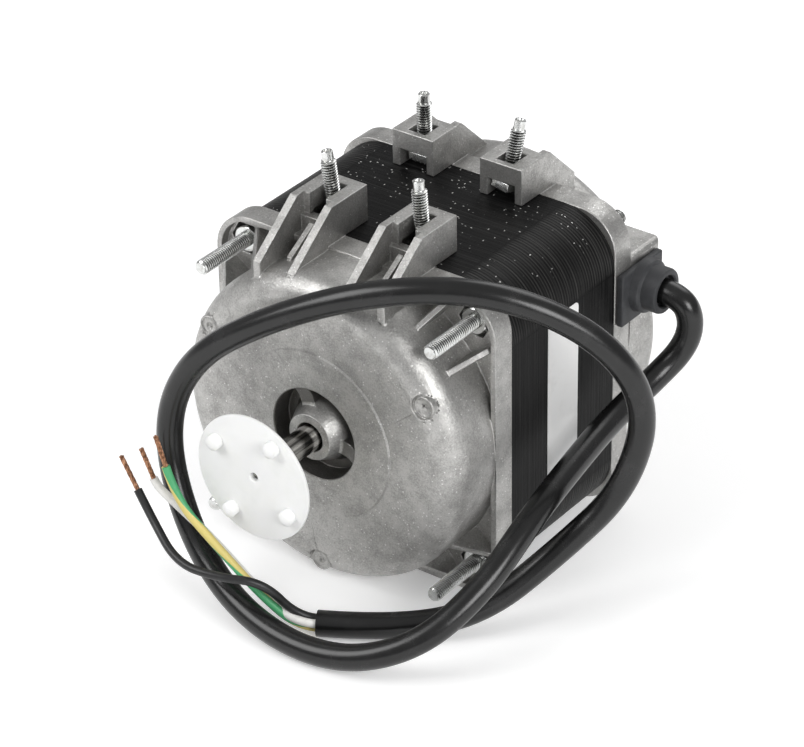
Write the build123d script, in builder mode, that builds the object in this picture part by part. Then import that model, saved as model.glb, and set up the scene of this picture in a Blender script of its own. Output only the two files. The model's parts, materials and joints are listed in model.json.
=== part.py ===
from build123d import *
import os
from math import cos, pi, radians, sin, sqrt, tan

# Condenser fan motor: a shaded-pole motor with a square lamination stack between two die-cast end bells.
# Frame: X right, Y from the shaft end to the back, Z up. The origin is on the shaft axis, in the plane of
# the outer faces of the four front nuts. All sizes are in millimetres.
os.makedirs("parts", exist_ok=True)

# Body
body_width = 86.3
half_width = body_width / 2
stack_length = 45.0
stack_inset = 0.25
stack_corner_radius = 15.0
flange_thickness = 7.0
flange_corner_radius = 11.0
casting_wall = 3.0

# Tie rods and their nuts
rod_diameter = 4.0
rod_shank_radius = 1.77
rod_edge_distance = 7.9
rod_spacing = body_width - 2 * rod_edge_distance
rod_hole_gap = 0.2
rod_front_reach = 18.1
rod_rear_reach = 9.0
rod_chamfer = 0.6
nut_flats = 7.0
nut_height = 3.2
nut_seat = 1.8
nut_room = 0.6
pocket_rim = 1.6
pocket_floor = 4.5

# Round pot of each end bell
pot_inset = 0.25
pot_radius = half_width - pot_inset
bell_depth = 24.2
shoulder_radius = 7.0
face_disc_radius = 23.3
face_disc_step = 0.4
recess_radius = 12.6
recess_taper = 0.3
boss_radius = 6.3
boss_root_radius = 9.6
boss_proud = 1.8
rib_width = 4.2
rib_first_angle = 108.0
rib_count = 3
rib_wall_sunk = 0.2
rib_sunk = 1.2
rib_slope = 2.2
pad_radius = 2.3
pad_ring_radius = 2.9
pad_ring_height = 0.3
pad_land = 0.4
pad_dimple_radius = 0.8
pad_dimple_depth = 0.4
pad_edge_distance = 4.4
pad_circle = pot_radius - pad_edge_distance
pad_sunk = 1.4
pad_first_angle = 30.0
pad_count = 3
gusset_thickness = 1.6
gusset_swing = 9.0
gusset_height = 9.5
gusset_past_rod = 0.95
gusset_toe = rod_spacing / sqrt(2) + gusset_past_rod

# Bearings, spherical sintered bushes held by a pressed plate with an oil felt round them
shaft_radius = 3.5
running_gap = 0.03
bush_sphere = 7.0
bush_length = 8.4
bush_depth = 13.0
seat_gap = 0.02
hub_radius = 14.5
hub_face_before_bush = 5.5
hub_depth = bush_depth - hub_face_before_bush
felt_radius = 10.2
felt_thickness = 4.8
felt_gap = 0.1
retainer_thickness = 0.8
retainer_gap = 0.05
bush_relief = 0.4
recess_floor_wall = 1.3
recess_depth = bell_depth - bush_depth - bush_length / 2 - recess_floor_wall
shaft_hole_radius = 4.0

# Stator and windings
winding_depth = 20.35
bore_radius = half_width - winding_depth
shoe_thickness = 3.7
yoke_thickness = 7.95
slot_half_width = half_width - yoke_thickness
slot_corner_wall = 2.15
slot_corner_radius = half_width - slot_corner_wall
pole_width = 16.0
former_wall = 1.0
former_flange = 0.8
coil_thickness = 5.2
coil_shoe_gap = 3.1
coil_yoke_gap = 1.2
coil_inner_radius = bore_radius + shoe_thickness + coil_shoe_gap
coil_outer_radius = slot_half_width - coil_yoke_gap
shading_width = 1.6
shading_slit_offset = 3.5
shading_return_offset = 9.4
shading_gap = 0.5
shading_radius = bore_radius + shoe_thickness + shading_gap
pole_count = 4

# Rotor
air_gap = 0.3
rotor_radius = bore_radius - air_gap
cage_ring_depth = 8.5
cage_ring_inner = rotor_radius - cage_ring_depth
cage_ring_thickness = 4.0
cage_ring_inset = 0.6
bar_radius = 1.4
bar_depth = 2.9
bar_circle = rotor_radius - bar_depth
bar_count = 12
spacer_radius = 4.9
washer_thickness = 1.0
end_play = 0.2
shaft_rear_margin = 1.5

# Fan hub disc on the front end of the shaft
disc_radius = 17.35
disc_thickness = 1.8
disc_face_reach = 43.5
disc_boss_radius = 5.5
disc_boss_length = 5.0
disc_screw_radius = 1.2
shaft_tip_chamfer = 0.5
peg_radius = 2.0
peg_height = 2.5
peg_circle = 13.0
peg_first_angle = 58.4

# Base lugs with their slots and studs
lug_spacing = 27.4
lug_width = 12.9
lug_height = 10.15
lug_top = half_width + lug_height
lug_wall = 2.2
lug_nose = 2.5
front_lug_overhang = 9.4
front_lug_crest = 5.0
front_lug_toe = 20.7
front_lug_toe_sunk = 1.85
rear_lug_overhang = 8.1
rear_lug_crest = 4.3
rear_lug_toe = 15.7
rear_lug_toe_sunk = 0.75
lug_root_sunk = 6.65
lug_root_height = half_width - lug_root_sunk
lug_rib_thickness = 1.5
lug_shelf_height = 4.35
lug_shelf_back = 1.2
lug_shelf_front = 4.0
lug_rib_height = half_width + lug_shelf_height
lug_rib_toe = 14.5
head_slot_width = 8.4
head_slot_height = 5.0
stud_slot_width = 5.2
rear_stud_slot_length = 5.8
rear_stud_slot_lead = 6.3
head_slot_front_end = 0.8
head_slot_rear_end = 2.6
base_stud_inset_front = 3.55
base_stud_inset_rear = 2.95
base_stud_reach = 9.7
base_stud_radius = 2.0
base_stud_thread_lift = 1.2
stud_head_width = 6.0
stud_head_height = 2.4
stud_head_lift = 1.3
stud_pivot_sunk = 1.5
stud_neck_radius = 1.75
dog_radius = 1.4
dog_length = 2.4
base_stud_leans = ((-7.5, 0.0), (-6.0, 2.5), (0.0, 0.0), (3.5, 14.0))

# Cable chamber and grommet on the right side of the rear bell
chamber_below_top = 14.75
chamber_height = 20.0
chamber_top = half_width - chamber_below_top
chamber_bottom = chamber_top - chamber_height
chamber_depth = 21.3
chamber_width = 15.15
chamber_edge_radius = 2.0
chamber_inner_reach = half_width - chamber_width
grommet_below_top = chamber_edge_radius
grommet_base_height = 14.5
grommet_base_top = chamber_top - grommet_below_top
grommet_base_bottom = grommet_base_top - grommet_base_height
grommet_front_edge = 0.6
grommet_base_length = 18.4
grommet_axis_back = 9.9
grommet_axis_drop = 6.2
grommet_axis_z = grommet_base_top - grommet_axis_drop
grommet_base_thickness = 2.0
grommet_boss_radius = 7.2
grommet_boss_height = 2.4
grommet_lip = 1.6
grommet_inner_flange = 1.5
grommet_inner_lip = 0.5
grommet_fit = 0.05
grommet_tube_radius = 6.1
grommet_tube_reach = 8.85
grommet_reach = half_width + grommet_tube_reach
grommet_mouth_radius = 4.3
grommet_mouth_depth = 2.0
grommet_fillet = 1.2

# Blank label on the right side of the stack
label_setback = 15.5
label_width = 13.2
label_bottom = -24.0
label_top = 27.5
label_corner = 1.5

# Supply cord, its three cores and their bared ends
cord_radius = 3.4
core_radius = 1.1
copper_radius = 0.65
copper_length = 9.5
arc_share = 0.45

# Places along the shaft axis
stack_front_y = nut_height + nut_seat
stack_rear_y = stack_front_y + stack_length
rear_nut_y = stack_rear_y + nut_seat + nut_height
stack_half_width = half_width - stack_inset
grommet_base_front = stack_rear_y + grommet_front_edge
grommet_base_back = grommet_base_front + grommet_base_length
grommet_axis_y = grommet_base_front + grommet_axis_back
felt_seat_depth = hub_depth + retainer_thickness + retainer_gap + felt_thickness + 2 * felt_gap
label_front = stack_front_y + label_setback
label_back = label_front + label_width
FRONT, REAR = -1, 1
BELL_SEATS = {FRONT: stack_front_y, REAR: stack_rear_y}
LUG_XS = (-lug_spacing / 2, lug_spacing / 2)
FRONT_SLOT_ENDS = (
    (-base_stud_inset_front - head_slot_width / 2, head_slot_front_end),
    (-base_stud_inset_front - stud_slot_width / 2, front_lug_crest),
)
REAR_SLOT_ENDS = (
    (-rear_lug_overhang, head_slot_rear_end),
    (-rear_stud_slot_lead, rear_stud_slot_length - rear_stud_slot_lead),
)


def place(side, depth):
    """Y of a place that lies so deep outside the stack, on the front or the rear side."""
    return BELL_SEATS[side] + side * depth


def axial_plane(y):
    """Plane across the shaft axis, seen from the front: local X is X and local Y is Z."""
    return Plane(origin=(0, y, 0), x_dir=(1, 0, 0), z_dir=(0, -1, 0))


def side_plane(x):
    """Plane across X, seen from the right: local X is Y and local Y is Z."""
    return Plane(origin=(x, 0, 0), x_dir=(0, 1, 0), z_dir=(1, 0, 0))


def meridian_plane(angle):
    """Plane through the shaft axis: local X points outwards at this angle and local Y is Y."""
    outward = (cos(radians(angle)), 0, sin(radians(angle)))
    return Plane(origin=(0, 0, 0), x_dir=outward, z_dir=(-outward[2], 0, outward[0]))


def save(piece, name):
    """Label a finished piece and write it."""
    piece.part.label = name
    export_step(piece.part, f"parts/{name}.step")


def bar(plane_y, length, radius):
    """A round bar round the shaft axis, from this Y backwards."""
    with BuildSketch(axial_plane(plane_y)) as section:
        Circle(radius)
    extrude(section.sketch, amount=-length)


def sphere_radius_at(offset):
    """Radius of the bush's sphere at this distance from its middle."""
    return sqrt(bush_sphere**2 - offset**2)


# Stator stack, one solid of laminations pressed together: bore, coil slots, shading slits, rod holes
pole_angles = [index * 360 / pole_count for index in range(pole_count)]
rod_places = [(x * rod_spacing / 2, z * rod_spacing / 2) for x in (-1, 1) for z in (-1, 1)]
shoe_radius = bore_radius + shoe_thickness
shading_middle = shading_radius + shading_width / 2

with BuildPart() as stator_stack:
    with BuildSketch(axial_plane(stack_rear_y)):
        RectangleRounded(2 * stack_half_width, 2 * stack_half_width, stack_corner_radius)
        Circle(bore_radius, mode=Mode.SUBTRACT)
        with Locations(rod_places):
            Circle(rod_diameter / 2 + rod_hole_gap, mode=Mode.SUBTRACT)
    extrude(amount=stack_length)
    with BuildSketch(axial_plane(stack_rear_y)) as slots:
        Rectangle(2 * slot_half_width, 2 * slot_half_width)
        Circle(slot_corner_radius, mode=Mode.INTERSECT)
        Circle(shoe_radius, mode=Mode.SUBTRACT)
        for angle in pole_angles[:2]:
            Rectangle(2 * half_width, pole_width, rotation=angle, mode=Mode.SUBTRACT)
        for angle in pole_angles:
            with Locations(Location((0, 0, 0), (0, 0, angle))):
                with Locations((shading_middle, shading_slit_offset)):
                    Rectangle(shading_width, shading_width)
    extrude(amount=stack_length, mode=Mode.SUBTRACT)
save(stator_stack, "stator_stack")


def pole_plane(angle, radius):
    """Plane across a pole at this radius: local X runs across the pole and local Y is Y."""
    outward = (cos(radians(angle)), 0, sin(radians(angle)))
    return Plane(origin=tuple(radius * value for value in outward), x_dir=(outward[2], 0, -outward[0]), z_dir=outward)


def frame_ring(plane, centre, inner, outer, height, corner):
    """A rectangular ring with rounded outer corners round the stack's length, standing on this plane."""
    with BuildPart() as ring:
        with BuildSketch(plane):
            with Locations(centre):
                RectangleRounded(*outer, corner)
                Rectangle(*inner, mode=Mode.SUBTRACT)
        extrude(amount=height)
    return ring


stack_middle_y = (stack_front_y + stack_rear_y) / 2
former_inner = (pole_width, stack_length)
former_outer = tuple(size + 2 * former_wall for size in former_inner)
coil_outer = tuple(size + 2 * coil_thickness for size in former_outer)
for index, angle in enumerate(pole_angles, start=1):
    with BuildPart() as former:
        with BuildSketch(pole_plane(angle, coil_inner_radius - former_flange)):
            with Locations((0, stack_middle_y)):
                Rectangle(*former_outer)
                Rectangle(*former_inner, mode=Mode.SUBTRACT)
        extrude(amount=coil_outer_radius - coil_inner_radius + 2 * former_flange)
        for radius in (coil_inner_radius - former_flange, coil_outer_radius):
            with BuildSketch(pole_plane(angle, radius)):
                with Locations((0, stack_middle_y)):
                    Rectangle(*coil_outer)
                    Rectangle(*former_inner, mode=Mode.SUBTRACT)
            extrude(amount=former_flange)
    save(former, f"coil_former_{index}")

    coil = frame_ring(
        pole_plane(angle, coil_inner_radius),
        (0, stack_middle_y),
        former_outer,
        coil_outer,
        coil_outer_radius - coil_inner_radius,
        coil_thickness / 2,
    )
    save(coil, f"coil_{index}")

    # The shading ring passes through the pole's slit and comes back beside the pole
    shading_span = shading_return_offset - shading_slit_offset
    shading_inner = (shading_span - shading_width, stack_length)
    shading_outer = tuple(size + 2 * shading_width for size in shading_inner)
    shading_ring = frame_ring(
        pole_plane(angle, shading_radius),
        (-(shading_slit_offset + shading_return_offset) / 2, stack_middle_y),
        shading_inner,
        shading_outer,
        shading_width,
        shading_width / 2,
    )
    save(shading_ring, f"shading_ring_{index}")


# End bells: a square flange with corner pockets, a round pot, base lugs and a bearing hub in one casting
def add_pot(side):
    """The solid pot with its soft shoulder, front disc, annular recess and centre boss."""
    with BuildSketch(Plane.XY) as section:
        with BuildLine():
            Polyline(
                (0, place(side, 0)),
                (pot_radius, place(side, 0)),
                (pot_radius, place(side, bell_depth - face_disc_step)),
                (face_disc_radius, place(side, bell_depth - face_disc_step)),
                (face_disc_radius, place(side, bell_depth)),
                (recess_radius, place(side, bell_depth)),
                (recess_radius - recess_taper, place(side, bell_depth - recess_depth)),
                (boss_root_radius, place(side, bell_depth - recess_depth)),
                (boss_radius, place(side, bell_depth + boss_proud)),
                (0, place(side, bell_depth + boss_proud)),
                close=True,
            )
        make_face()
        shoulder = vertices().filter_by(lambda corner: corner.X > pot_radius - face_disc_step)
        fillet(shoulder.sort_by(Axis.Y)[-1 if side == REAR else 0], shoulder_radius)
    revolve(section.sketch, axis=Axis.Y)


def add_recess_ribs(side):
    """Three ribs across the recess, from its wall down to the boss."""
    floor_y = place(side, bell_depth - recess_depth - recess_taper)
    for index in range(rib_count):
        angle = rib_first_angle + index * 360 / rib_count
        with BuildSketch(meridian_plane(angle)) as rib:
            with BuildLine():
                Polyline(
                    (recess_radius + recess_taper, floor_y),
                    (recess_radius + recess_taper, place(side, bell_depth - rib_wall_sunk)),
                    (recess_radius - rib_slope, place(side, bell_depth - rib_sunk)),
                    (boss_radius, place(side, bell_depth - rib_sunk)),
                    (boss_radius, floor_y),
                    close=True,
                )
            make_face()
        extrude(rib.sketch, amount=rib_width / 2, both=True)


def cut_cavity(side, shaft_hole_end):
    """The space for the windings round the hub, the felt chamber, the bush's seat and the shaft's hole."""
    with BuildSketch(Plane.XY) as winding_space:
        with BuildLine():
            Polyline(
                (0, place(side, 0)),
                (pot_radius - casting_wall, place(side, 0)),
                (pot_radius - casting_wall, place(side, bell_depth - casting_wall)),
                (hub_radius, place(side, bell_depth - casting_wall)),
                (hub_radius, place(side, hub_depth)),
                (0, place(side, hub_depth)),
                close=True,
            )
        make_face()
        corner = vertices().filter_by(lambda point: point.X > pot_radius - 2 * casting_wall)
        fillet(corner.sort_by(Axis.Y)[-1 if side == REAR else 0], shoulder_radius - casting_wall)
    revolve(winding_space.sketch, axis=Axis.Y, mode=Mode.SUBTRACT)
    seat_sphere = bush_sphere + seat_gap
    seat_end = bush_length / 2
    seat_middle = (felt_seat_depth - bush_depth + seat_end) / 2
    with BuildSketch(Plane.XY) as hub_bore:
        with BuildLine():
            seat_arc = ThreePointArc(
                (sqrt(seat_sphere**2 - (felt_seat_depth - bush_depth) ** 2), place(side, felt_seat_depth)),
                (sqrt(seat_sphere**2 - seat_middle**2), place(side, bush_depth + seat_middle)),
                (sqrt(seat_sphere**2 - seat_end**2), place(side, bush_depth + seat_end)),
            )
            Polyline(
                seat_arc @ 1,
                ((seat_arc @ 1).X, place(side, bush_depth + seat_end + bush_relief)),
                (shaft_hole_radius, place(side, bush_depth + seat_end + bush_relief)),
                (shaft_hole_radius, place(side, shaft_hole_end)),
                (0, place(side, shaft_hole_end)),
                (0, place(side, hub_depth)),
                (felt_radius, place(side, hub_depth)),
                (felt_radius, place(side, felt_seat_depth)),
                seat_arc @ 0,
            )
        make_face()
    revolve(hub_bore.sketch, axis=Axis.Y, mode=Mode.SUBTRACT)


def add_lug(side, x, overhang, crest, toe, toe_height, slot_ends, shelf):
    """A base lug: a block over the stack's edge, two webs and a rib running down the pot, and its slots."""

    def web(thickness, offset, profile):
        with BuildSketch(side_plane(x + offset - thickness / 2)) as outline:
            with BuildLine():
                Polyline(*[(place(side, depth), height) for depth, height in profile], close=True)
            make_face()
        extrude(outline.sketch, amount=thickness)

    block = ((-overhang, half_width), (-overhang, lug_top), (lug_nose, lug_top), (lug_nose, half_width))
    web(lug_width, 0, block)
    wall = ((0, lug_root_height), (0, lug_top), (crest, lug_top), (toe, toe_height), (toe, lug_root_height))
    for offset in (-1, 1):
        web(lug_wall, offset * (lug_width - lug_wall) / 2, wall)
    rib_top_end = shelf[1] if shelf else lug_nose
    rib = ((0, lug_root_height), (0, lug_rib_height), (rib_top_end, lug_rib_height), (lug_rib_toe, toe_height))
    web(lug_rib_thickness, 0, (*rib, (lug_rib_toe, lug_root_height)))

    head_slot, stud_slot = slot_ends
    for width, (inner, outer), bottom, top in (
        (head_slot_width, head_slot, half_width, half_width + head_slot_height),
        (stud_slot_width, stud_slot, half_width, lug_top),
    ):
        with BuildSketch(Plane.XY.offset(bottom)) as slot:
            with Locations((x, (place(side, inner) + place(side, outer)) / 2)):
                Rectangle(width, abs(outer - inner))
        extrude(slot.sketch, amount=top - bottom, mode=Mode.SUBTRACT)
    if shelf:
        back, front = shelf
        web(
            lug_width - lug_wall,
            0,
            ((back, lug_root_height), (back, lug_rib_height), (front, lug_rib_height), (front, lug_root_height)),
        )


def add_gussets(side):
    """Two thin triangular webs beside each nut, from the pocket's rim to the pot's wall."""
    wall_radius = pot_radius - casting_wall / 2
    for corner_angle in (45, 135, 225, 315):
        for swing in (-gusset_swing, gusset_swing):
            with BuildSketch(meridian_plane(corner_angle + swing)) as web:
                with BuildLine():
                    Polyline(
                        (wall_radius, place(side, nut_seat / 2)),
                        (wall_radius, place(side, flange_thickness + gusset_height)),
                        (gusset_toe, place(side, flange_thickness)),
                        (gusset_toe, place(side, nut_seat / 2)),
                        close=True,
                    )
                make_face()
            extrude(web.sketch, amount=gusset_thickness / 2, both=True)


def add_shell(side):
    """Flange, corner pockets, pot, gussets and faced shoulder pads of a bell, still solid inside."""
    with BuildSketch(axial_plane(place(side, 0))) as flange:
        RectangleRounded(body_width, body_width, flange_corner_radius)
    extrude(flange.sketch, amount=-side * flange_thickness)
    with BuildSketch(axial_plane(place(side, flange_thickness))) as pockets:
        pocket_width = body_width - 2 * pocket_rim
        RectangleRounded(pocket_width, pocket_width, flange_corner_radius - pocket_rim)
        Circle(pot_radius - casting_wall / 2, mode=Mode.SUBTRACT)
    extrude(pockets.sketch, amount=side * (flange_thickness - pocket_floor), mode=Mode.SUBTRACT)
    add_pot(side)
    add_recess_ribs(side)
    add_gussets(side)
    pad_top = bell_depth - pad_sunk
    with BuildSketch(axial_plane(place(side, pad_top))) as pad_faces:
        with PolarLocations(pad_circle, pad_count, start_angle=pad_first_angle):
            Circle(pad_ring_radius + pad_land)
    extrude(pad_faces.sketch, amount=-side * pad_sunk, mode=Mode.SUBTRACT)
    for radius, depth in ((pad_radius, pad_top), (pad_ring_radius, pad_top + pad_ring_height)):
        with BuildSketch(axial_plane(place(side, flange_thickness))) as pads:
            with PolarLocations(pad_circle, pad_count, start_angle=pad_first_angle):
                Circle(radius)
                if radius > pad_radius:
                    Circle(pad_radius, mode=Mode.SUBTRACT)
        extrude(pads.sketch, amount=-side * (depth - flange_thickness))
    with BuildSketch(axial_plane(place(side, pad_top))) as dimples:
        with PolarLocations(pad_circle, pad_count, start_angle=pad_first_angle):
            Circle(pad_dimple_radius)
    extrude(dimples.sketch, amount=side * pad_dimple_depth, mode=Mode.SUBTRACT)


def cut_rod_holes(side):
    """Clearance holes for the tie rods, with room round each nut."""
    with BuildSketch(axial_plane(place(side, 0))) as holes:
        with Locations(rod_places):
            Circle(rod_diameter / 2 + rod_hole_gap)
    extrude(holes.sketch, amount=-side * nut_seat, mode=Mode.SUBTRACT)
    with BuildSketch(axial_plane(place(side, nut_seat))) as nut_seats:
        with Locations(rod_places):
            RegularPolygon(nut_flats / 2 + nut_room, 6, major_radius=False)
    extrude(nut_seats.sketch, amount=-side * gusset_height, mode=Mode.SUBTRACT)


with BuildPart() as front_end_bell:
    add_shell(FRONT)
    for lug_x in LUG_XS:
        add_lug(
            FRONT,
            lug_x,
            front_lug_overhang,
            front_lug_crest,
            front_lug_toe,
            half_width - front_lug_toe_sunk,
            FRONT_SLOT_ENDS,
            (lug_shelf_back, lug_shelf_front),
        )
    cut_rod_holes(FRONT)
    cut_cavity(FRONT, bell_depth + boss_proud)
save(front_end_bell, "front_end_bell")

# The cable chamber's walls stand out past the pot, with rounded outer edges
with BuildPart() as cable_chamber:
    with BuildSketch(side_plane(chamber_inner_reach)):
        chamber_middle = (chamber_bottom + chamber_top) / 2
        with Locations((place(REAR, chamber_depth / 2), chamber_middle)):
            Rectangle(chamber_depth, chamber_top - chamber_bottom)
    extrude(amount=half_width - chamber_inner_reach)
    outer_edges = cable_chamber.faces().sort_by(Axis.X)[-1].edges()
    fillet(outer_edges.sort_by(Axis.Y)[1:], chamber_edge_radius)

with BuildPart() as rear_end_bell:
    add_shell(REAR)
    for lug_x in LUG_XS:
        add_lug(
            REAR,
            lug_x,
            rear_lug_overhang,
            rear_lug_crest,
            rear_lug_toe,
            half_width - rear_lug_toe_sunk,
            REAR_SLOT_ENDS,
            None,
        )
    cut_rod_holes(REAR)
    add(cable_chamber.part)
    cut_cavity(REAR, bell_depth - recess_depth)
    with BuildSketch(side_plane(chamber_inner_reach)):
        with Locations((place(REAR, (chamber_depth - casting_wall) / 2), chamber_middle)):
            Rectangle(chamber_depth - casting_wall, chamber_top - chamber_bottom - 2 * casting_wall)
    extrude(amount=half_width - casting_wall - chamber_inner_reach, mode=Mode.SUBTRACT)
    with BuildSketch(side_plane(half_width - casting_wall)):
        window_size = (
            grommet_base_back - grommet_base_front - 2 * grommet_lip,
            grommet_base_top - grommet_base_bottom - 2 * grommet_lip,
        )
        grommet_middle = (
            (grommet_base_front + grommet_base_back) / 2,
            (grommet_base_bottom + grommet_base_top) / 2,
        )
        with Locations(grommet_middle):
            Rectangle(*window_size)
    extrude(amount=casting_wall, mode=Mode.SUBTRACT)
save(rear_end_bell, "rear_end_bell")

# Cable grommet: outer plate, neck through the window, inner flange, and a tube with a hollow mouth
with BuildPart() as cable_grommet:
    plate_size = (grommet_base_back - grommet_base_front, grommet_base_top - grommet_base_bottom)
    with BuildSketch(side_plane(half_width)):
        with Locations(grommet_middle):
            RectangleRounded(*plate_size, grommet_fillet)
    extrude(amount=grommet_base_thickness)
    with BuildSketch(side_plane(half_width - casting_wall)):
        with Locations(grommet_middle):
            Rectangle(*(size - 2 * grommet_fit for size in window_size))
    extrude(amount=casting_wall)
    with BuildSketch(side_plane(half_width - casting_wall - grommet_inner_flange)):
        with Locations(grommet_middle):
            Rectangle(*(size + 2 * grommet_inner_lip for size in window_size))
    extrude(amount=grommet_inner_flange)
    for radius, reach in (
        (grommet_boss_radius, half_width + grommet_base_thickness + grommet_boss_height),
        (grommet_tube_radius, grommet_reach),
    ):
        with BuildSketch(side_plane(half_width + grommet_base_thickness)):
            with Locations((grommet_axis_y, grommet_axis_z)):
                Circle(radius)
        extrude(amount=reach - half_width - grommet_base_thickness)
    with BuildSketch(side_plane(grommet_reach - grommet_mouth_depth)):
        with Locations((grommet_axis_y, grommet_axis_z)):
            Circle(grommet_mouth_radius)
    extrude(amount=grommet_mouth_depth, mode=Mode.SUBTRACT)
save(cable_grommet, "cable_grommet")

# Bushes, felts and retainer plates in the two hubs
for side, name in ((FRONT, "front"), (REAR, "rear")):
    with BuildPart() as bush:
        with BuildSketch(Plane.XY):
            with BuildLine():
                bush_end = bush_length / 2
                round_side = ThreePointArc(
                    (sphere_radius_at(bush_end), place(side, bush_depth - bush_end)),
                    (bush_sphere, place(side, bush_depth)),
                    (sphere_radius_at(bush_end), place(side, bush_depth + bush_end)),
                )
                Polyline(
                    round_side @ 1,
                    (shaft_radius + running_gap, place(side, bush_depth + bush_end)),
                    (shaft_radius + running_gap, place(side, bush_depth - bush_end)),
                    round_side @ 0,
                )
            make_face()
        revolve(axis=Axis.Y)
    save(bush, f"{name}_bearing")

    with BuildPart() as felt:
        with BuildSketch(axial_plane(place(side, felt_seat_depth - felt_gap - felt_thickness))):
            Circle(felt_radius - felt_gap)
            Circle(bush_sphere + felt_gap, mode=Mode.SUBTRACT)
        extrude(amount=-side * felt_thickness)
    save(felt, f"{name}_oil_felt")

    # The plate's hole touches the bush's sphere and keeps it in its seat
    with BuildPart() as retainer:
        plate_hole = sphere_radius_at(bush_depth - hub_depth - retainer_thickness) + seat_gap
        with BuildSketch(axial_plane(place(side, hub_depth))):
            Circle(felt_radius)
            Circle(plate_hole, mode=Mode.SUBTRACT)
        extrude(amount=-side * retainer_thickness)
    save(retainer, f"{name}_bearing_retainer")

    # The spacer sits against the rotor's core, and the washer takes the thrust on the bush
    washer_face = bush_depth - bush_length / 2 - end_play
    with BuildPart() as spacer:
        with BuildSketch(axial_plane(place(side, 0))):
            Circle(spacer_radius)
            Circle(shaft_radius, mode=Mode.SUBTRACT)
        extrude(amount=-side * (washer_face - washer_thickness))
    save(spacer, f"{name}_spacer")

    with BuildPart() as washer:
        with BuildSketch(axial_plane(place(side, washer_face - washer_thickness))):
            Circle(spacer_radius)
            Circle(shaft_radius, mode=Mode.SUBTRACT)
        extrude(amount=-side * washer_thickness)
    save(washer, f"{name}_thrust_washer")

# Rotor: lamination core, cast cage of bars and end rings, and the shaft
with BuildPart() as rotor_core:
    bar(stack_front_y, stack_length, rotor_radius)
    with BuildSketch(axial_plane(stack_rear_y)):
        Circle(shaft_radius)
        with PolarLocations(bar_circle, bar_count):
            Circle(bar_radius)
    extrude(amount=stack_length, mode=Mode.SUBTRACT)
save(rotor_core, "rotor_core")

with BuildPart() as rotor_cage:
    for side in (FRONT, REAR):
        with BuildSketch(axial_plane(place(side, 0))):
            Circle(rotor_radius - cage_ring_inset)
            Circle(cage_ring_inner, mode=Mode.SUBTRACT)
        extrude(amount=-side * cage_ring_thickness)
    with BuildSketch(axial_plane(stack_rear_y)):
        with PolarLocations(bar_circle, bar_count):
            Circle(bar_radius)
    extrude(amount=stack_length)
save(rotor_cage, "rotor_cage")

disc_face_y = -disc_face_reach
shaft_front_y = disc_face_y + disc_thickness
shaft_rear_y = place(REAR, bell_depth - recess_depth - shaft_rear_margin)
with BuildPart() as shaft:
    bar(shaft_front_y, shaft_rear_y - shaft_front_y, shaft_radius)
    chamfer(shaft.edges().filter_by(GeomType.CIRCLE), shaft_tip_chamfer)
save(shaft, "shaft")

with BuildPart() as hub_disc:
    bar(disc_face_y, disc_thickness, disc_radius)
    bar(shaft_front_y, disc_boss_length, disc_boss_radius)
    with BuildSketch(axial_plane(disc_face_y)):
        with PolarLocations(peg_circle, 4, start_angle=peg_first_angle):
            Circle(peg_radius)
    extrude(amount=peg_height)
    with BuildSketch(axial_plane(shaft_front_y)):
        Circle(shaft_radius)
    extrude(amount=-disc_boss_length, mode=Mode.SUBTRACT)
    with BuildSketch(axial_plane(disc_face_y)):
        Circle(disc_screw_radius)
    extrude(amount=-disc_thickness, mode=Mode.SUBTRACT)
save(hub_disc, "hub_disc")

# Tie rods right through the motor, with a nut on each end. Each is rolled from a blank of its thread's pitch
# radius, which is its shank and where it meets its nuts; the thread shows at full size outside the nuts.
with BuildPart() as tie_rods:
    for radius, near_y, far_y in (
        (rod_shank_radius, 0, rear_nut_y),
        (rod_diameter / 2, -rod_front_reach, 0),
        (rod_diameter / 2, rear_nut_y, rear_nut_y + rod_rear_reach),
    ):
        with BuildSketch(axial_plane(far_y)) as rod_section:
            with Locations(rod_places):
                Circle(radius)
        extrude(rod_section.sketch, amount=far_y - near_y)
    rod_ends = tie_rods.edges().filter_by(GeomType.CIRCLE).group_by(Axis.Y)
    chamfer(rod_ends[0] + rod_ends[-1], rod_chamfer)
save(tie_rods, "tie_rods")

with BuildPart() as tie_rod_nuts:
    for side in (FRONT, REAR):
        with BuildSketch(axial_plane(place(side, nut_seat))):
            with Locations(rod_places):
                RegularPolygon(nut_flats / 2, 6, major_radius=False)
                Circle(rod_shank_radius, mode=Mode.SUBTRACT)
        extrude(amount=-side * nut_height)
save(tie_rod_nuts, "tie_rod_nuts")

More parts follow.
